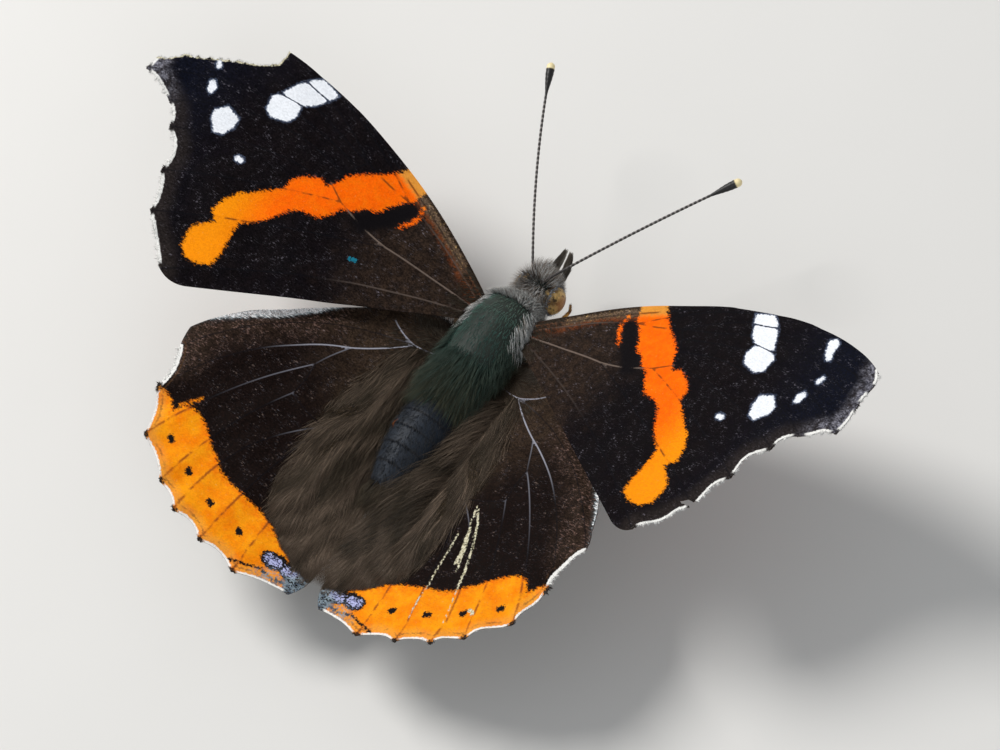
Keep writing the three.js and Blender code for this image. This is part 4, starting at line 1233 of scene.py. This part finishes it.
def make_coats():
    # The thorax fur's last tone is a painted rim light; the long hair's is its own green tone
    thorax = hair_finish("thorax_hair", (0.010, 0.022, 0.018), (0.031, 0.068, 0.056), 0.38, 0.6,
                         (0.100, 0.078, 0.056), (0.110, 0.245, 0.198), Sheen_Weight=0.35,
                         Sheen_Roughness=0.45, Sheen_Tint=(0.40, 0.90, 0.78, 1))
    long_hair = hair_finish("thorax_long_hair", (0.020, 0.020, 0.013), (0.082, 0.078, 0.048), 0.45, 0.8,
                            (0.035, 0.064, 0.054), (0.036, 0.063, 0.052))
    grey = hair_finish("head_hair", (0.058, 0.046, 0.038), (0.35, 0.30, 0.26), 0.55, 0.9,
                       (0.56, 0.58, 0.58))
    belly = hair_finish("abdomen_scales", (0.006, 0.009, 0.014), (0.0105, 0.0165, 0.029), 0.5, 0.7,
                        (0.005, 0.006, 0.008))

    def back(y, angle):
        return -1, -0.22 * np.cos(angle), 0.04

    def spreading(y, angle):
        side = np.cos(angle)
        return -1, -0.25 * side, 0.14 + 0.2 * np.abs(side) + 0.6 * smooth_step(-0.8, -3.0, y)

    def sideways(y, angle):
        return -0.8, -0.35 * np.sign(np.cos(angle)) * np.sin(angle), 0.75

    def shoulders(y, angle):
        return -0.9, -0.6 * np.sign(np.cos(angle)), 0.45

    def upright(y, angle):
        return -0.6, 0, 0.9

    def forwards(y, angle):
        return smooth_step(5.9, 7.3, y) * 1.9 - 0.75, 0.1 * np.cos(angle), 0.95

    def backwards(y, angle):
        return -1, 0, 0.03

    def warm_top(y, angle):
        brown = smooth_step(1.0, 3.5, y) * smooth_step(-0.3, 0.6, np.sin(angle + 0.4))
        return np.clip(brown * 0.8 + rng.normal(0, 0.12, len(y)), 0, 1)

    # Share of a painted teal rim light along the thorax's left flank, and a little over its front top
    def painted_rim_light_share(y, angle):
        across = smooth_step(1.75, 2.3, angle) * smooth_step(3.1, 2.7, angle) * 0.85
        front = smooth_step(0.2, 2.4, y) * smooth_step(-0.2, 0.7, np.sin(angle)) * 0.3
        return np.maximum(across * smooth_step(-3.8, 1.6, y) * smooth_step(4.9, 4.0, y), front)

    def like_thorax(y, angle):
        return smooth_step(-3.7, -1.0, y) * smooth_step(-0.3, 0.5, np.sin(angle)) * 0.75

    def few(share):
        return lambda y, angle: (rng.random(len(y)) < share) * drawn(0.4, 1.0, y)

    def at_rear(y, angle):
        return smooth_step(-0.9, -3.2, y) * (0.35 + 0.65 * smooth_step(-0.9, 0.1, np.sin(angle)))

    def at_sides(y, angle):
        return smooth_step(0.66, 0.92, np.abs(np.cos(angle))) * smooth_step(-1.1, -0.2, np.sin(angle))

    def at_shoulders(y, angle):
        beside = smooth_step(0.62, 0.85, np.abs(np.cos(angle)))
        return beside * smooth_step(-0.1, 0.3, np.sin(angle)) * smooth_step(0.2, 2.6, y)

    def at_fleck(y, angle):
        return (np.abs(angle - 2.5) < 0.16) * 1.0

    def even(value):
        return lambda y, angle: value

    def rear_length(y, angle):
        return 0.7 + 2.1 * smooth_step(0.2, -3.4, y)

    def side_length(y, angle):
        return 0.5 + 1.4 * smooth_step(1.4, -2.8, y)

    def head_length(y, angle):
        left = smooth_step(0.3, -0.5, np.cos(angle))
        return 0.85 + 0.45 * left * smooth_step(-0.2, 0.4, np.sin(angle))

    def seam(y, angle):
        phase = segment_phase(y)
        mark = smooth_step(0.55, 0.8, phase) * smooth_step(0.99, 0.88, phase)
        broken = 0.3 + 0.7 * np.sin(angle * 7 + 2.3 * np.floor((WAIST - y) / 1.33))
        return np.clip(mark * (broken + rng.normal(0, 0.25, len(y))), 0, 0.8)

    # The thorax fur carries a painted teal rim light along its left flank
    coat("thorax_fur", 15500, -3.9, 4.9, back, even(0.55), 0.048, thorax, "body_fur", levels=2,
         shares={"pale": warm_top, "green_tone_and_painted_rim": painted_rim_light_share}, lift=0.04, droop=0.09, flat=0.25)
    thick = {"slot": "body_fur", "levels": 3, "flat": 0.4}
    coat("thorax_rear_hair", 7500, -3.95, -0.6, spreading, rear_length, 0.045, long_hair, **thick,
         keep=at_rear, shares={"pale": few(0.4), "green_tone_and_painted_rim": like_thorax}, lift=0.2, droop=0.25)
    coat("thorax_side_hair", 5600, -3.7, 4.4, sideways, side_length, 0.045, long_hair, **thick,
         keep=at_sides, shares={"pale": few(0.25), "green_tone_and_painted_rim": like_thorax}, lift=0.05, droop=0.18)
    coat("shoulder_fur", 2600, 0.4, 4.5, shoulders, even(0.95), 0.05, grey, **thick,
         keep=at_shoulders, shares={"pale": few(0.85)}, lift=0.1, droop=0.25)
    coat("collar_fur", 3600, 3.7, 5.5, upright, even(0.85), 0.05, grey, **thick,
         shares={"pale": few(0.85)}, lift=0.1, droop=0.3)
    coat("head_fur", 6500, 5.1, 7.75, forwards, head_length, 0.038, grey, **thick,
         shares={"pale": few(0.35)}, lift=0.1, droop=0.25)
    coat("abdomen_scales", 15000, -13.2, -3.9, backwards, even(0.3), 0.1, belly, "abdomen",
         shares={"pale": seam}, lift=0.02, droop=0.07, flat=0.05)
    belly_hair = hair_finish("abdomen_hair", (0.012, 0.013, 0.016), (0.050, 0.050, 0.050), 0.5, 0.8)
    coat("abdomen_side_hair", 3200, -13.0, -4.2, sideways, even(0.6), 0.03, belly_hair, "abdomen",
         lift=0.0, droop=0.4)
    tail_hair = hair_finish("abdomen_tail_hair", (0.022, 0.016, 0.010), (0.090, 0.070, 0.045), 0.5, 0.9)
    coat("abdomen_tail_fur", 900, -13.35, -12.0, spreading, even(1.5), 0.045, tail_hair, "abdomen",
         levels=3, lift=0.1, droop=0.3)
    rust = hair_finish("abdomen_rust", (0.10, 0.025, 0.006), (0.34, 0.10, 0.025), 0.5, 0.6)
    coat("abdomen_rust_scales", 45, -8.15, -7.65, backwards, even(0.35), 0.09, rust, "abdomen",
         keep=at_fleck, lift=0.05, droop=0.07)


# How many locks: those tried and kept over a hindwing, those over each hinge, the ends of membrane
# along the tear, and the space between two scales of the fringe
HAIR_TRIES, HAIR_COUNT = 44000, 18500
ROOT_TRIES = 3600
TORN_ENDS = 420
FRINGE_STEP = 0.017
# The hair along each hindwing's inner edge: how many, how far it leans inwards and its length
INNER_HAIR = {"left": (2900, 0.16, 3.0), "right": (5600, 0.58, 4.2)}
FLOW_CENTRE = (0.6, 1.8)


def wing_locks(wing, kind, plan, found, lengths, widths, finish, **choices):
    """Locks on a wing, from their found roots, ways and normals."""
    tufts(f"{wing.name}_{kind}", *found, lengths, widths, finish, "wing", wing.patch(plan), **choices)


def flow(plan):
    """Which way the long hair lies over a hindwing: away from the hinge, bent to the rear."""
    u, v = plan.T
    way = unit(unit(plan - FLOW_CENTRE) + (0, -0.4))
    wave = 0.22 * np.sin(u * 1.9 + 2.0 * np.sin(v * 0.8)) + rng.normal(0, 0.08, len(plan))
    return np.column_stack([
        way[:, 0] * np.cos(wave) - way[:, 1] * np.sin(wave),
        way[:, 0] * np.sin(wave) + way[:, 1] * np.cos(wave),
    ])


def clumps(plan):
    """A slow wave over the plan that draws neighbouring hairs into soft locks, whose crests also carry a
    painted highlight.
    """
    u, v = plan.T
    turn = u * 0.9 + v * 0.35
    return 0.5 + 0.5 * np.sin(turn * 3.4 + 1.6 * np.sin(v * 0.9) + 0.8 * np.sin(u * 2.3))


def wing_hair(wing, finish):
    """Long soft hair on the inner half of a hindwing, swept back from the hinge."""
    low, high = np.min(DOWN_ZONE, axis=0), np.max(DOWN_ZONE, axis=0)
    plan = rng.uniform(low, high + (1.0, 0.0), (HAIR_TRIES, 2))
    depth = area(plan, DOWN_ZONE)
    to_border = -area(plan, HIND_BORDER)
    kept = inside(plan, wing.outline()) & (to_border > 0.25)
    kept &= rng.random(len(plan)) < 0.9 * smooth_step(-0.9, 1.1, depth)
    plan, depth, to_border = (values[kept][:HAIR_COUNT] for values in (plan, depth, to_border))
    locks = clumps(plan)
    found = wing.direction(plan, flow(plan))
    room = np.maximum(np.minimum(distance(plan, wing.outer) - 1.4, to_border + 0.25), 0.4)
    lengths = np.minimum(drawn(1.3, 3.6, plan), room)
    lengths = lengths * (0.6 + 0.4 * smooth_step(-0.5, 1.5, depth))
    bend = rng.normal(0.0, 0.05, len(plan)) + (0.04 + 0.14 * locks) * wing.side
    to_rear = smooth_step(-5.0, -16.0, plan[:, 1])
    # Painted highlight on the crests of the locks, lighter towards the rear, and a few pale hairs at
    # random
    pale = np.clip(locks * 0.4 - 0.16 + 0.3 * to_rear + (rng.random(len(plan)) < 0.16) * 0.6, 0, 1)
    widths = drawn(0.018, 0.036, plan)
    lift = drawn(0.02, 0.06, plan) + 0.07 * locks
    wing_locks(wing, "hair", plan, found, lengths, widths, finish, lift=lift, droop=0.06, bend=bend,
               fields={"pale": pale})


def inner_hair(wing, finish, count, lean, reach):
    """Hair along a hindwing's inner edge that rises and lies over the side of the abdomen."""
    plan = np.column_stack([rng.uniform(-1.5, 2.3, count), rng.uniform(-15.0, -0.6, count)])
    plan = plan[inside(plan, wing.outline())]
    inwards = -lean * (0.7 + 0.3 * smooth_step(-1.2, 0.4, plan[:, 0]))
    way = unit(np.column_stack([inwards, np.full(len(plan), -1.0)]))
    way = unit(way + rng.normal(0, 0.1, way.shape) + (clumps(plan)[:, None] - 0.5) * (0.3, 0))
    found = wing.direction(plan, way)
    at_rear = smooth_step(-8.5, -12.0, plan[:, 1])
    lengths = drawn(0.55, 1.0, plan) * reach * (1 - 0.45 * at_rear)
    widths = drawn(0.02, 0.038, plan)
    lift = drawn(0.35, 0.85, plan) * (1 - 0.6 * at_rear)
    # Painted highlight on the crests of the locks
    wing_locks(wing, "inner_hair", plan, found, lengths, widths, finish, levels=3, lift=lift,
               droop=0.5 - 0.3 * at_rear, fields={"pale": np.clip(clumps(plan) * 0.5 - 0.1, 0, 1)})


def fringe(wing, finish):
    """Short scales standing out from the outer edge: white in the bays, dark at the veins."""
    spots, ways, pale = [], [], []
    for line in wing.outer:
        knots = knots_of(line)
        t = np.sort(rng.uniform(0, knots[-1], int(knots[-1] / FRINGE_STEP)))
        spots.append(between(t, knots, line))
        steps = np.diff(line, axis=0)
        headings = steps / np.linalg.norm(steps, axis=1)[:, None]
        heading = between(t, (knots[1:] + knots[:-1]) / 2, headings)
        ways.append(unit(np.column_stack([-heading[:, 1], heading[:, 0]])))
        is_first = line is wing.outer[0] and not wing.fore
        end = knots[-1] - t if is_first else np.minimum(t, knots[-1] - t)
        pale.append(smooth_step(0.28, 0.5, end + rng.normal(0, 0.05, len(t))))
    plan, way, pale = np.concatenate(spots), np.concatenate(ways), np.concatenate(pale)
    if wing.fore:
        kept = ~inside(plan, wing.lost)
        plan, way, pale = plan[kept], way[kept], pale[kept]
    roots, ways, normals = wing.direction(plan - way * 0.1, way + rng.normal(0, 0.1, way.shape))
    roots = roots - normals * WING_HALF * rng.uniform(0, 2, (len(plan), 1))
    u, v = plan.T
    ragged = 0.75 + 0.45 * np.sin(u * 7.1 + 2 * np.sin(v * 5.3)) * np.sin(v * 8.7)
    long = 0.2 + 0.12 * pale
    if not wing.fore:
        first = distance(plan, wing.outer[:1])
        long = 0.22 - 0.09 * pale + 0.2 * smooth_step(0.5, 0.1, first)
    lengths = long * drawn(0.6, 1.3, plan) * ragged
    wing_locks(wing, "fringe", plan, (roots, ways, normals), lengths, drawn(0.05, 0.09, plan), finish,
               lift=0.0, droop=0.05, flat=0.25, taper=0.4, fields={"pale": pale})
    if wing.torn:
        torn_hairs(wing, finish)


def torn_hairs(wing, finish):
    """Ragged ends of the membrane along the torn edge."""
    knots = knots_of(wing.cut_line)
    plan = between(rng.uniform(0, knots[-1], TORN_ENDS), knots, wing.cut_line)
    plan = plan[inside(plan, wing.outline())]
    way = unit(np.tile((0.35, 0.9), (len(plan), 1)) + rng.normal(0, 0.35, (len(plan), 2)))
    roots, ways, normals = wing.direction(plan - way * 0.08, way)
    roots = roots - normals * WING_HALF
    wing_locks(wing, "torn_ends", plan, (roots, ways, normals), drawn(0.12, 0.3, plan),
               drawn(0.05, 0.1, plan), finish, lift=0.0, droop=0.1, flat=0.2, taper=0.6,
               fields={"pale": drawn(0.5, 0.95, plan)})


def fringe_finish():
    f = Finish("fringe", Roughness=0.6, Specular_IOR_Level=0.3)
    colour = f.mix(f.attribute("pale"), (0.03, 0.024, 0.02), (0.86, 0.85, 0.82))
    f.feed(Base_Color=f.lock_tones(colour, 0.4, 0.75))
    return f


def root_fur(wing, finish):
    """Hair over the hinge of a wing, where it leaves the body."""
    span = 2.4 if wing.fore else 4.4
    plan = np.column_stack([rng.uniform(0.4, span, ROOT_TRIES), rng.uniform(-1.6, 2.5, ROOT_TRIES)])
    plan = plan[inside(plan, wing.outline())]
    share = 1.15 - plan[:, 0] / span + 0.6 * smooth_step(1.2, 2.0, plan[:, 1])
    plan = plan[rng.random(len(plan)) < share]
    forwards = 0.0 if wing.fore else 1.6 * smooth_step(0.9, 1.7, plan[:, 1])
    way = unit(np.column_stack([np.ones(len(plan)), plan[:, 1] * 0.15 - 0.45 + forwards]))
    way = way + rng.normal(0, 0.12, way.shape)
    lengths = drawn(0.35, 0.85, plan) * (0.8 if wing.fore else 1.5)
    wing_locks(wing, "root_fur", plan, wing.direction(plan, way), lengths, 0.03, finish, levels=3,
               lift=0.1, droop=0.14, bend=0.15 * wing.side,
               fields={"pale": (rng.random(len(plan)) < 0.1) * 0.7})


def eye_finish():
    f = Finish("eye", Roughness=0.4, Specular_IOR_Level=0.25, Coat_Weight=0.1, Coat_Roughness=0.2)
    place = f.place()
    cloud = f.noise(place, 1500.0, 3.0)
    colour = f.mix(cloud.step(0.38, 0.6), (0.18, 0.095, 0.030), (0.66, 0.42, 0.14))
    spots = f.noise(place, 2600.0, 4.0, 0.7).step(0.50, 0.60)
    colour = f.mix(spots * 0.9, colour, (0.03, 0.017, 0.006))
    colour = f.mix(f.attribute("rim") * 0.8, colour, (0.34, 0.12, 0.025))
    f.feed(Base_Color=colour)
    facets = f.cells(place, 28000.0)
    f.feed(Normal=f.bump(facets, 0.000012, 0.6))
    return f


def make_eyes():
    finish = eye_finish()
    pale = hair_finish("eye_rim", (0.02, 0.018, 0.02), (0.06, 0.06, 0.07), 0.5, 0.8, (0.52, 0.58, 0.66))
    polar = (np.arange(EYE_ROWS) + 0.5) / EYE_ROWS * np.pi
    angle = np.arange(EYE_SIDES) / EYE_SIDES * 2 * np.pi
    p, a = (grid.ravel() for grid in np.meshgrid(polar, angle, indexing="ij"))
    ball = np.column_stack([np.sin(p) * np.cos(a), np.cos(p), np.sin(p) * np.sin(a)])
    ball = np.vstack([ball, (0, 1, 0), (0, -1, 0)])
    faces = outward(ball, ring_faces(EYE_ROWS, EYE_SIDES))
    u = np.append(a / (2 * np.pi), [0.5, 0.5])
    v = np.append(p / np.pi, [0, 1])
    for word, side in SIDES:
        points = ball * EYE_RADII + (side * EYE[0], EYE[1], EYE[2])
        fields = {"rim": smooth_step(0.7, 1.0, ball[:, 0] * side)}
        uv = corner_map(faces, u, v)
        made = piece(f"eye_{word}_facets", points, faces, finish, uv, fields)
        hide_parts(f"eye_{word}")
        eye_rim(word, side, pale)


def eye_rim(word, side, finish):
    """A row of pale scales where the eye meets the head."""
    angle = rng.uniform(-0.2, 2 * np.pi - 0.2, EYE_RIM_SCALES)
    inner = rng.normal(0.22, 0.07, len(angle))
    ring = np.sqrt(1 - inner ** 2)
    out = np.column_stack([inner * side, ring * np.cos(angle), ring * np.sin(angle)])
    roots = out * EYE_RADII + (side * EYE[0], EYE[1], EYE[2])
    ways = out * 0.5 + (0.5 * side, 0, 0) + rng.normal(0, 0.25, out.shape)
    patches = np.column_stack([angle / 7 + 0.05, inner + 0.3])
    tufts(f"eye_{word}_rim", roots, ways, out, drawn(0.12, 0.28, angle), 0.06, finish,
          "body_fur", patches, lift=0.0, droop=0.1, flat=0.2,
          fields={"pale": rng.random(len(angle)) ** 0.7})


def antenna_finish():
    """Black joints with pale rings between them, and a cream tip on the club."""
    f = Finish("antenna", Roughness=0.45, Specular_IOR_Level=0.4)
    along = f.attribute("along")
    joint = f.node("ShaderNodeMath", {"operation": "FRACT"}, {0: along * RINGS})
    pale = joint.apart(0.5).step(0.22, 0.4)
    shaft = f.mix(pale * along.step(0.09, 0.2) * 0.5, (0.016, 0.011, 0.010), (0.38, 0.35, 0.33))
    club = along.step(1 - CLUB_SHARE - 0.05, 1 - CLUB_SHARE + 0.02)
    colour = f.mix(club, shaft, (0.010, 0.009, 0.009))
    colour = f.mix(along.step(0.966, 0.974), colour, (0.88, 0.74, 0.42))
    f.feed(Base_Color=colour)
    f.feed(Normal=f.bump(f.noise(f.place(), 9000.0), 0.00002, 0.5))
    return f


def antenna_joints(share):
    """Swelling of each joint of the antenna, almost none in the club."""
    in_club = smooth_step(1 - CLUB_SHARE - 0.03, 1 - CLUB_SHARE + 0.03, share)
    return 1 + (0.1 - 0.07 * in_club) * np.cos(2 * np.pi * (share * RINGS - 0.5))


def make_antennae():
    finish = antenna_finish()
    for word, side in SIDES:
        root, tip = np.array(ANTENNA_ROOT), np.array(ANTENNA_TIPS[word])
        t = np.linspace(0, 1, ANTENNA_POINTS)
        line = root + (tip - root) * t[:, None]
        line[:, 0] += 4 * ANTENNA_BOWS[word] * t * (1 - t)
        club = np.clip((t - 1 + CLUB_SHARE) / CLUB_SHARE, 0, 1)
        radius = SHAFT_RADIUS + (CLUB_RADIUS - SHAFT_RADIUS) * np.sin(club * np.pi * 0.62) ** 1.3
        start = root - (tip - root) * 0.03
        path = np.vstack([np.append(start, SHAFT_RADIUS * 1.6), np.column_stack([line, radius])])
        path[:, 0] *= side
        made = limb_piece(f"antenna_{word}_joints", path, finish, "antenna", sides=14, step=0.07,
                          rounds=2, ripple=antenna_joints)
        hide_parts(f"antenna_{word}")


def mottled(name, scale, dark, light, **constants):
    """Cuticle in two tones that meet in small blots."""
    f = Finish(name, **constants)
    f.feed(Base_Color=f.mix(f.noise(f.place(), scale, 4.0).step(0.4, 0.6), dark, light))
    return f


def foot_joints(share):
    """Swellings of the last joints of a leg, over its outer third."""
    return 1 + 0.07 * np.sin(np.minimum(share, 0.98) * 70) * (share > 0.62)


def make_legs():
    brown = mottled("leg", 1800.0, (0.055, 0.032, 0.016), (0.30, 0.17, 0.06),
                    Roughness=0.55, Specular_IOR_Level=0.4)
    brown.feed(Normal=brown.bump(brown.cells(brown.place(), 9000.0), 0.00002, 0.6))
    bristle = hair_finish("leg_bristles", (0.03, 0.02, 0.012), (0.22, 0.15, 0.08), 0.5, 0.8)
    golden = mottled("foreleg", 1500.0, (0.36, 0.13, 0.02), (0.80, 0.38, 0.06),
                     Roughness=0.5, Specular_IOR_Level=0.3)
    for name, path in LEG_PATHS.items():
        tucked = name == "foreleg"
        for word, side in SIDES:
            whole = mirrored(path, side)
            if tucked:
                whole = [(x, y, z, radius * FORELEG_THINNING) for x, y, z, radius in whole]
            made = limb_piece(f"{name}_{word}_cuticle", whole, golden if tucked else brown, "leg",
                              step=0.06, rounds=5, ripple=foot_joints)
            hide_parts(f"{name}_{word}")
            leg_bristles(f"{name}_{word}", whole, bristle)


def leg_bristles(name, path, finish):
    """Fine spines along a leg, leaning towards its foot."""
    path = np.asarray(path, float)
    knots = knots_of(path[:, :3])
    t = rng.uniform(0.5, knots[-1] - 0.05, int(knots[-1] * BRISTLES_PER_MM))
    roots, along, out = round_limb(path, knots, t, 0.85)
    ways = along + out * 0.35
    lengths = drawn(0.12, 0.3, t)
    patches = limb_patch(t / knots[-1])
    clear = (roots + unit(ways) * lengths[:, None])[:, 2] > GROUND + 0.7 * FOOT_ROOM
    clear &= roots[:, 2] > GROUND + FOOT_ROOM
    tufts(f"{name}_bristles", roots[clear], ways[clear], out[clear], lengths[clear], BRISTLE_WIDTH,
          finish, "leg", patches[clear], lift=0.0, droop=0.05)


def make_palps():
    scales = hair_finish("palp_hair", (0.030, 0.025, 0.021), (0.120, 0.100, 0.082), 0.5, 0.9,
                         (0.40, 0.37, 0.32))
    skin = mottled("palp", 1500.0, (0.025, 0.022, 0.019), (0.12, 0.105, 0.088),
                   Roughness=0.6, Specular_IOR_Level=0.3)
    for word, side in SIDES:
        path = mirrored(PALP_PATH, side)
        made = limb_piece(f"palp_{word}_skin", path, skin, "body_fur", sides=16, step=0.06, rounds=8)
        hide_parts(f"palp_{word}")
        palp_fur(f"palp_{word}", path, scales, side)


def tongue_joints(share):
    return 1 + 0.05 * np.sin(share * 240)


def make_tongue():
    horn = Finish("proboscis", Roughness=0.35, Specular_IOR_Level=0.5)
    cloud = horn.noise(horn.place(), 3000.0)
    horn.feed(Base_Color=horn.mix(cloud, (0.02, 0.012, 0.008), (0.10, 0.05, 0.02)))
    angle = np.linspace(0, TONGUE_TURNS * 2 * np.pi, TONGUE_POINTS)
    reach = TONGUE_REACH - TONGUE_SPACING * angle / (2 * np.pi)
    coil = np.column_stack([
        np.zeros(TONGUE_POINTS),
        TONGUE_CENTRE[0] - reach * np.sin(angle),
        TONGUE_CENTRE[1] + reach * np.cos(angle),
        TONGUE_RADIUS * (1 - 0.4 * angle / angle[-1]),
    ])
    coil = np.vstack([TONGUE_ROOT, coil])
    made = limb_piece("proboscis_coil", coil, horn, "mouthparts", step=0.06, rounds=1,
                      ripple=tongue_joints)
    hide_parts("proboscis")


def palp_fur(name, path, finish, side):
    """Coarse scales lying forwards along a palp, pale on its inner and lower side."""
    path = np.asarray(path, float)
    knots = np.arange(len(path))
    t = rng.uniform(0.02, 0.97, PALP_SCALES) * knots[-1]
    roots, along, out = round_limb(path, knots, t, 0.9)
    lengths = drawn(0.22, 0.46, t)
    patches = limb_patch(t / knots[-1])
    pale = smooth_step(0.1, 0.7, -out[:, 0] * side * 0.8 - out[:, 2] * 0.5) * 0.9
    tufts(f"{name}_fur", roots, along + out * 0.3, out, lengths, 0.032, finish, "body_fur", patches,
          lift=0.0, droop=0.12, fields={"pale": pale})


def camera():
    """The camera at the photograph's viewing angle, far off with a long lens."""
    azimuth, height = math.radians(CAMERA_AZIMUTH), math.radians(CAMERA_HEIGHT)
    level = Vector((math.sin(azimuth), -math.cos(azimuth), 0))
    back = level * math.cos(height) + Vector((0, 0, math.sin(height)))
    turn = (-back).to_track_quat("-Z", "Y") @ Quaternion((0, 0, 1), math.radians(CAMERA_ROLL))
    right, up = turn @ Vector((1, 0, 0)), turn @ Vector((0, 1, 0))
    off = [(m - h) / PIXELS_PER_MM for m, h in zip(PHOTO_MIDDLE, HINGE_PIXEL)]
    aim = Vector(HINGE_LINE) + (right * off[0] - up * off[1]) * MM
    made = bpy.data.objects.new("camera", bpy.data.cameras.new("camera"))
    bpy.context.scene.collection.objects.link(made)
    made.rotation_mode = "QUATERNION"
    made.location = aim + back * CAMERA_DISTANCE * MM
    made.rotation_quaternion = turn
    made.data.sensor_width = SENSOR
    made.data.lens = PIXELS_PER_MM * CAMERA_DISTANCE / PHOTO_WIDTH * SENSOR
    made.data.clip_start, made.data.clip_end = CLIP
    bpy.context.scene.camera = made


def lamp(name, at, size, power, colour):
    data = bpy.data.lights.new(name, "AREA")
    data.shape = "DISK"
    data.size = size
    data.energy = power
    data.color = colour
    made = bpy.data.objects.new(name, data)
    made.location = at
    made.rotation_euler = (Vector(LAMP_AIM) - Vector(at)).to_track_quat("-Z", "Y").to_euler()
    bpy.context.scene.collection.objects.link(made)


def studio():
    world = bpy.data.worlds.new("studio")
    bpy.context.scene.world = world
    world.use_nodes = True
    sky = world.node_tree.nodes["Background"].inputs
    sky["Color"].default_value = SKY
    sky["Strength"].default_value = SKY_STRENGTH
    bpy.context.scene.view_settings.view_transform = "Standard"
    for name, choices in LAMPS.items():
        lamp(name, *choices)
    bpy.ops.mesh.primitive_plane_add(size=FLOOR_SIZE, location=(0, 0, 0))
    floor = bpy.context.active_object
    floor.name = "floor"
    f = Finish("floor", Roughness=0.9)
    f.feed(Base_Color=f.mix(f.noise(f.place(), 40.0), (0.70, 0.69, 0.67), (0.74, 0.73, 0.71)))
    floor.data.materials.append(f.material)


camera()
studio()
make_body(skin_finish())
make_coats()
make_eyes()
make_antennae()
make_legs()
make_palps()
make_tongue()
fore_finish = wing_finish("forewing_scales", True)
hind_finish = wing_finish("hindwing_scales", False)
pale_fringe = fringe_finish()
down_finish = hair_finish("hindwing_hair", (0.022, 0.015, 0.009), (0.076, 0.059, 0.040), 0.5, 1.2,
                          (0.26, 0.19, 0.14))
root_finish = hair_finish("wing_root_hair", (0.022, 0.015, 0.010), (0.060, 0.044, 0.029), 0.5, 0.6,
                          (0.10, 0.085, 0.065))
for wing_name in WING_SETS:
    wing = Wing(wing_name)
    make_wing(wing, fore_finish if wing.fore else hind_finish)
    fringe(wing, pale_fringe)
    root_fur(wing, root_finish)
    if not wing.fore:
        wing_hair(wing, down_finish)
        inner_hair(wing, down_finish, *INNER_HAIR[wing.word])
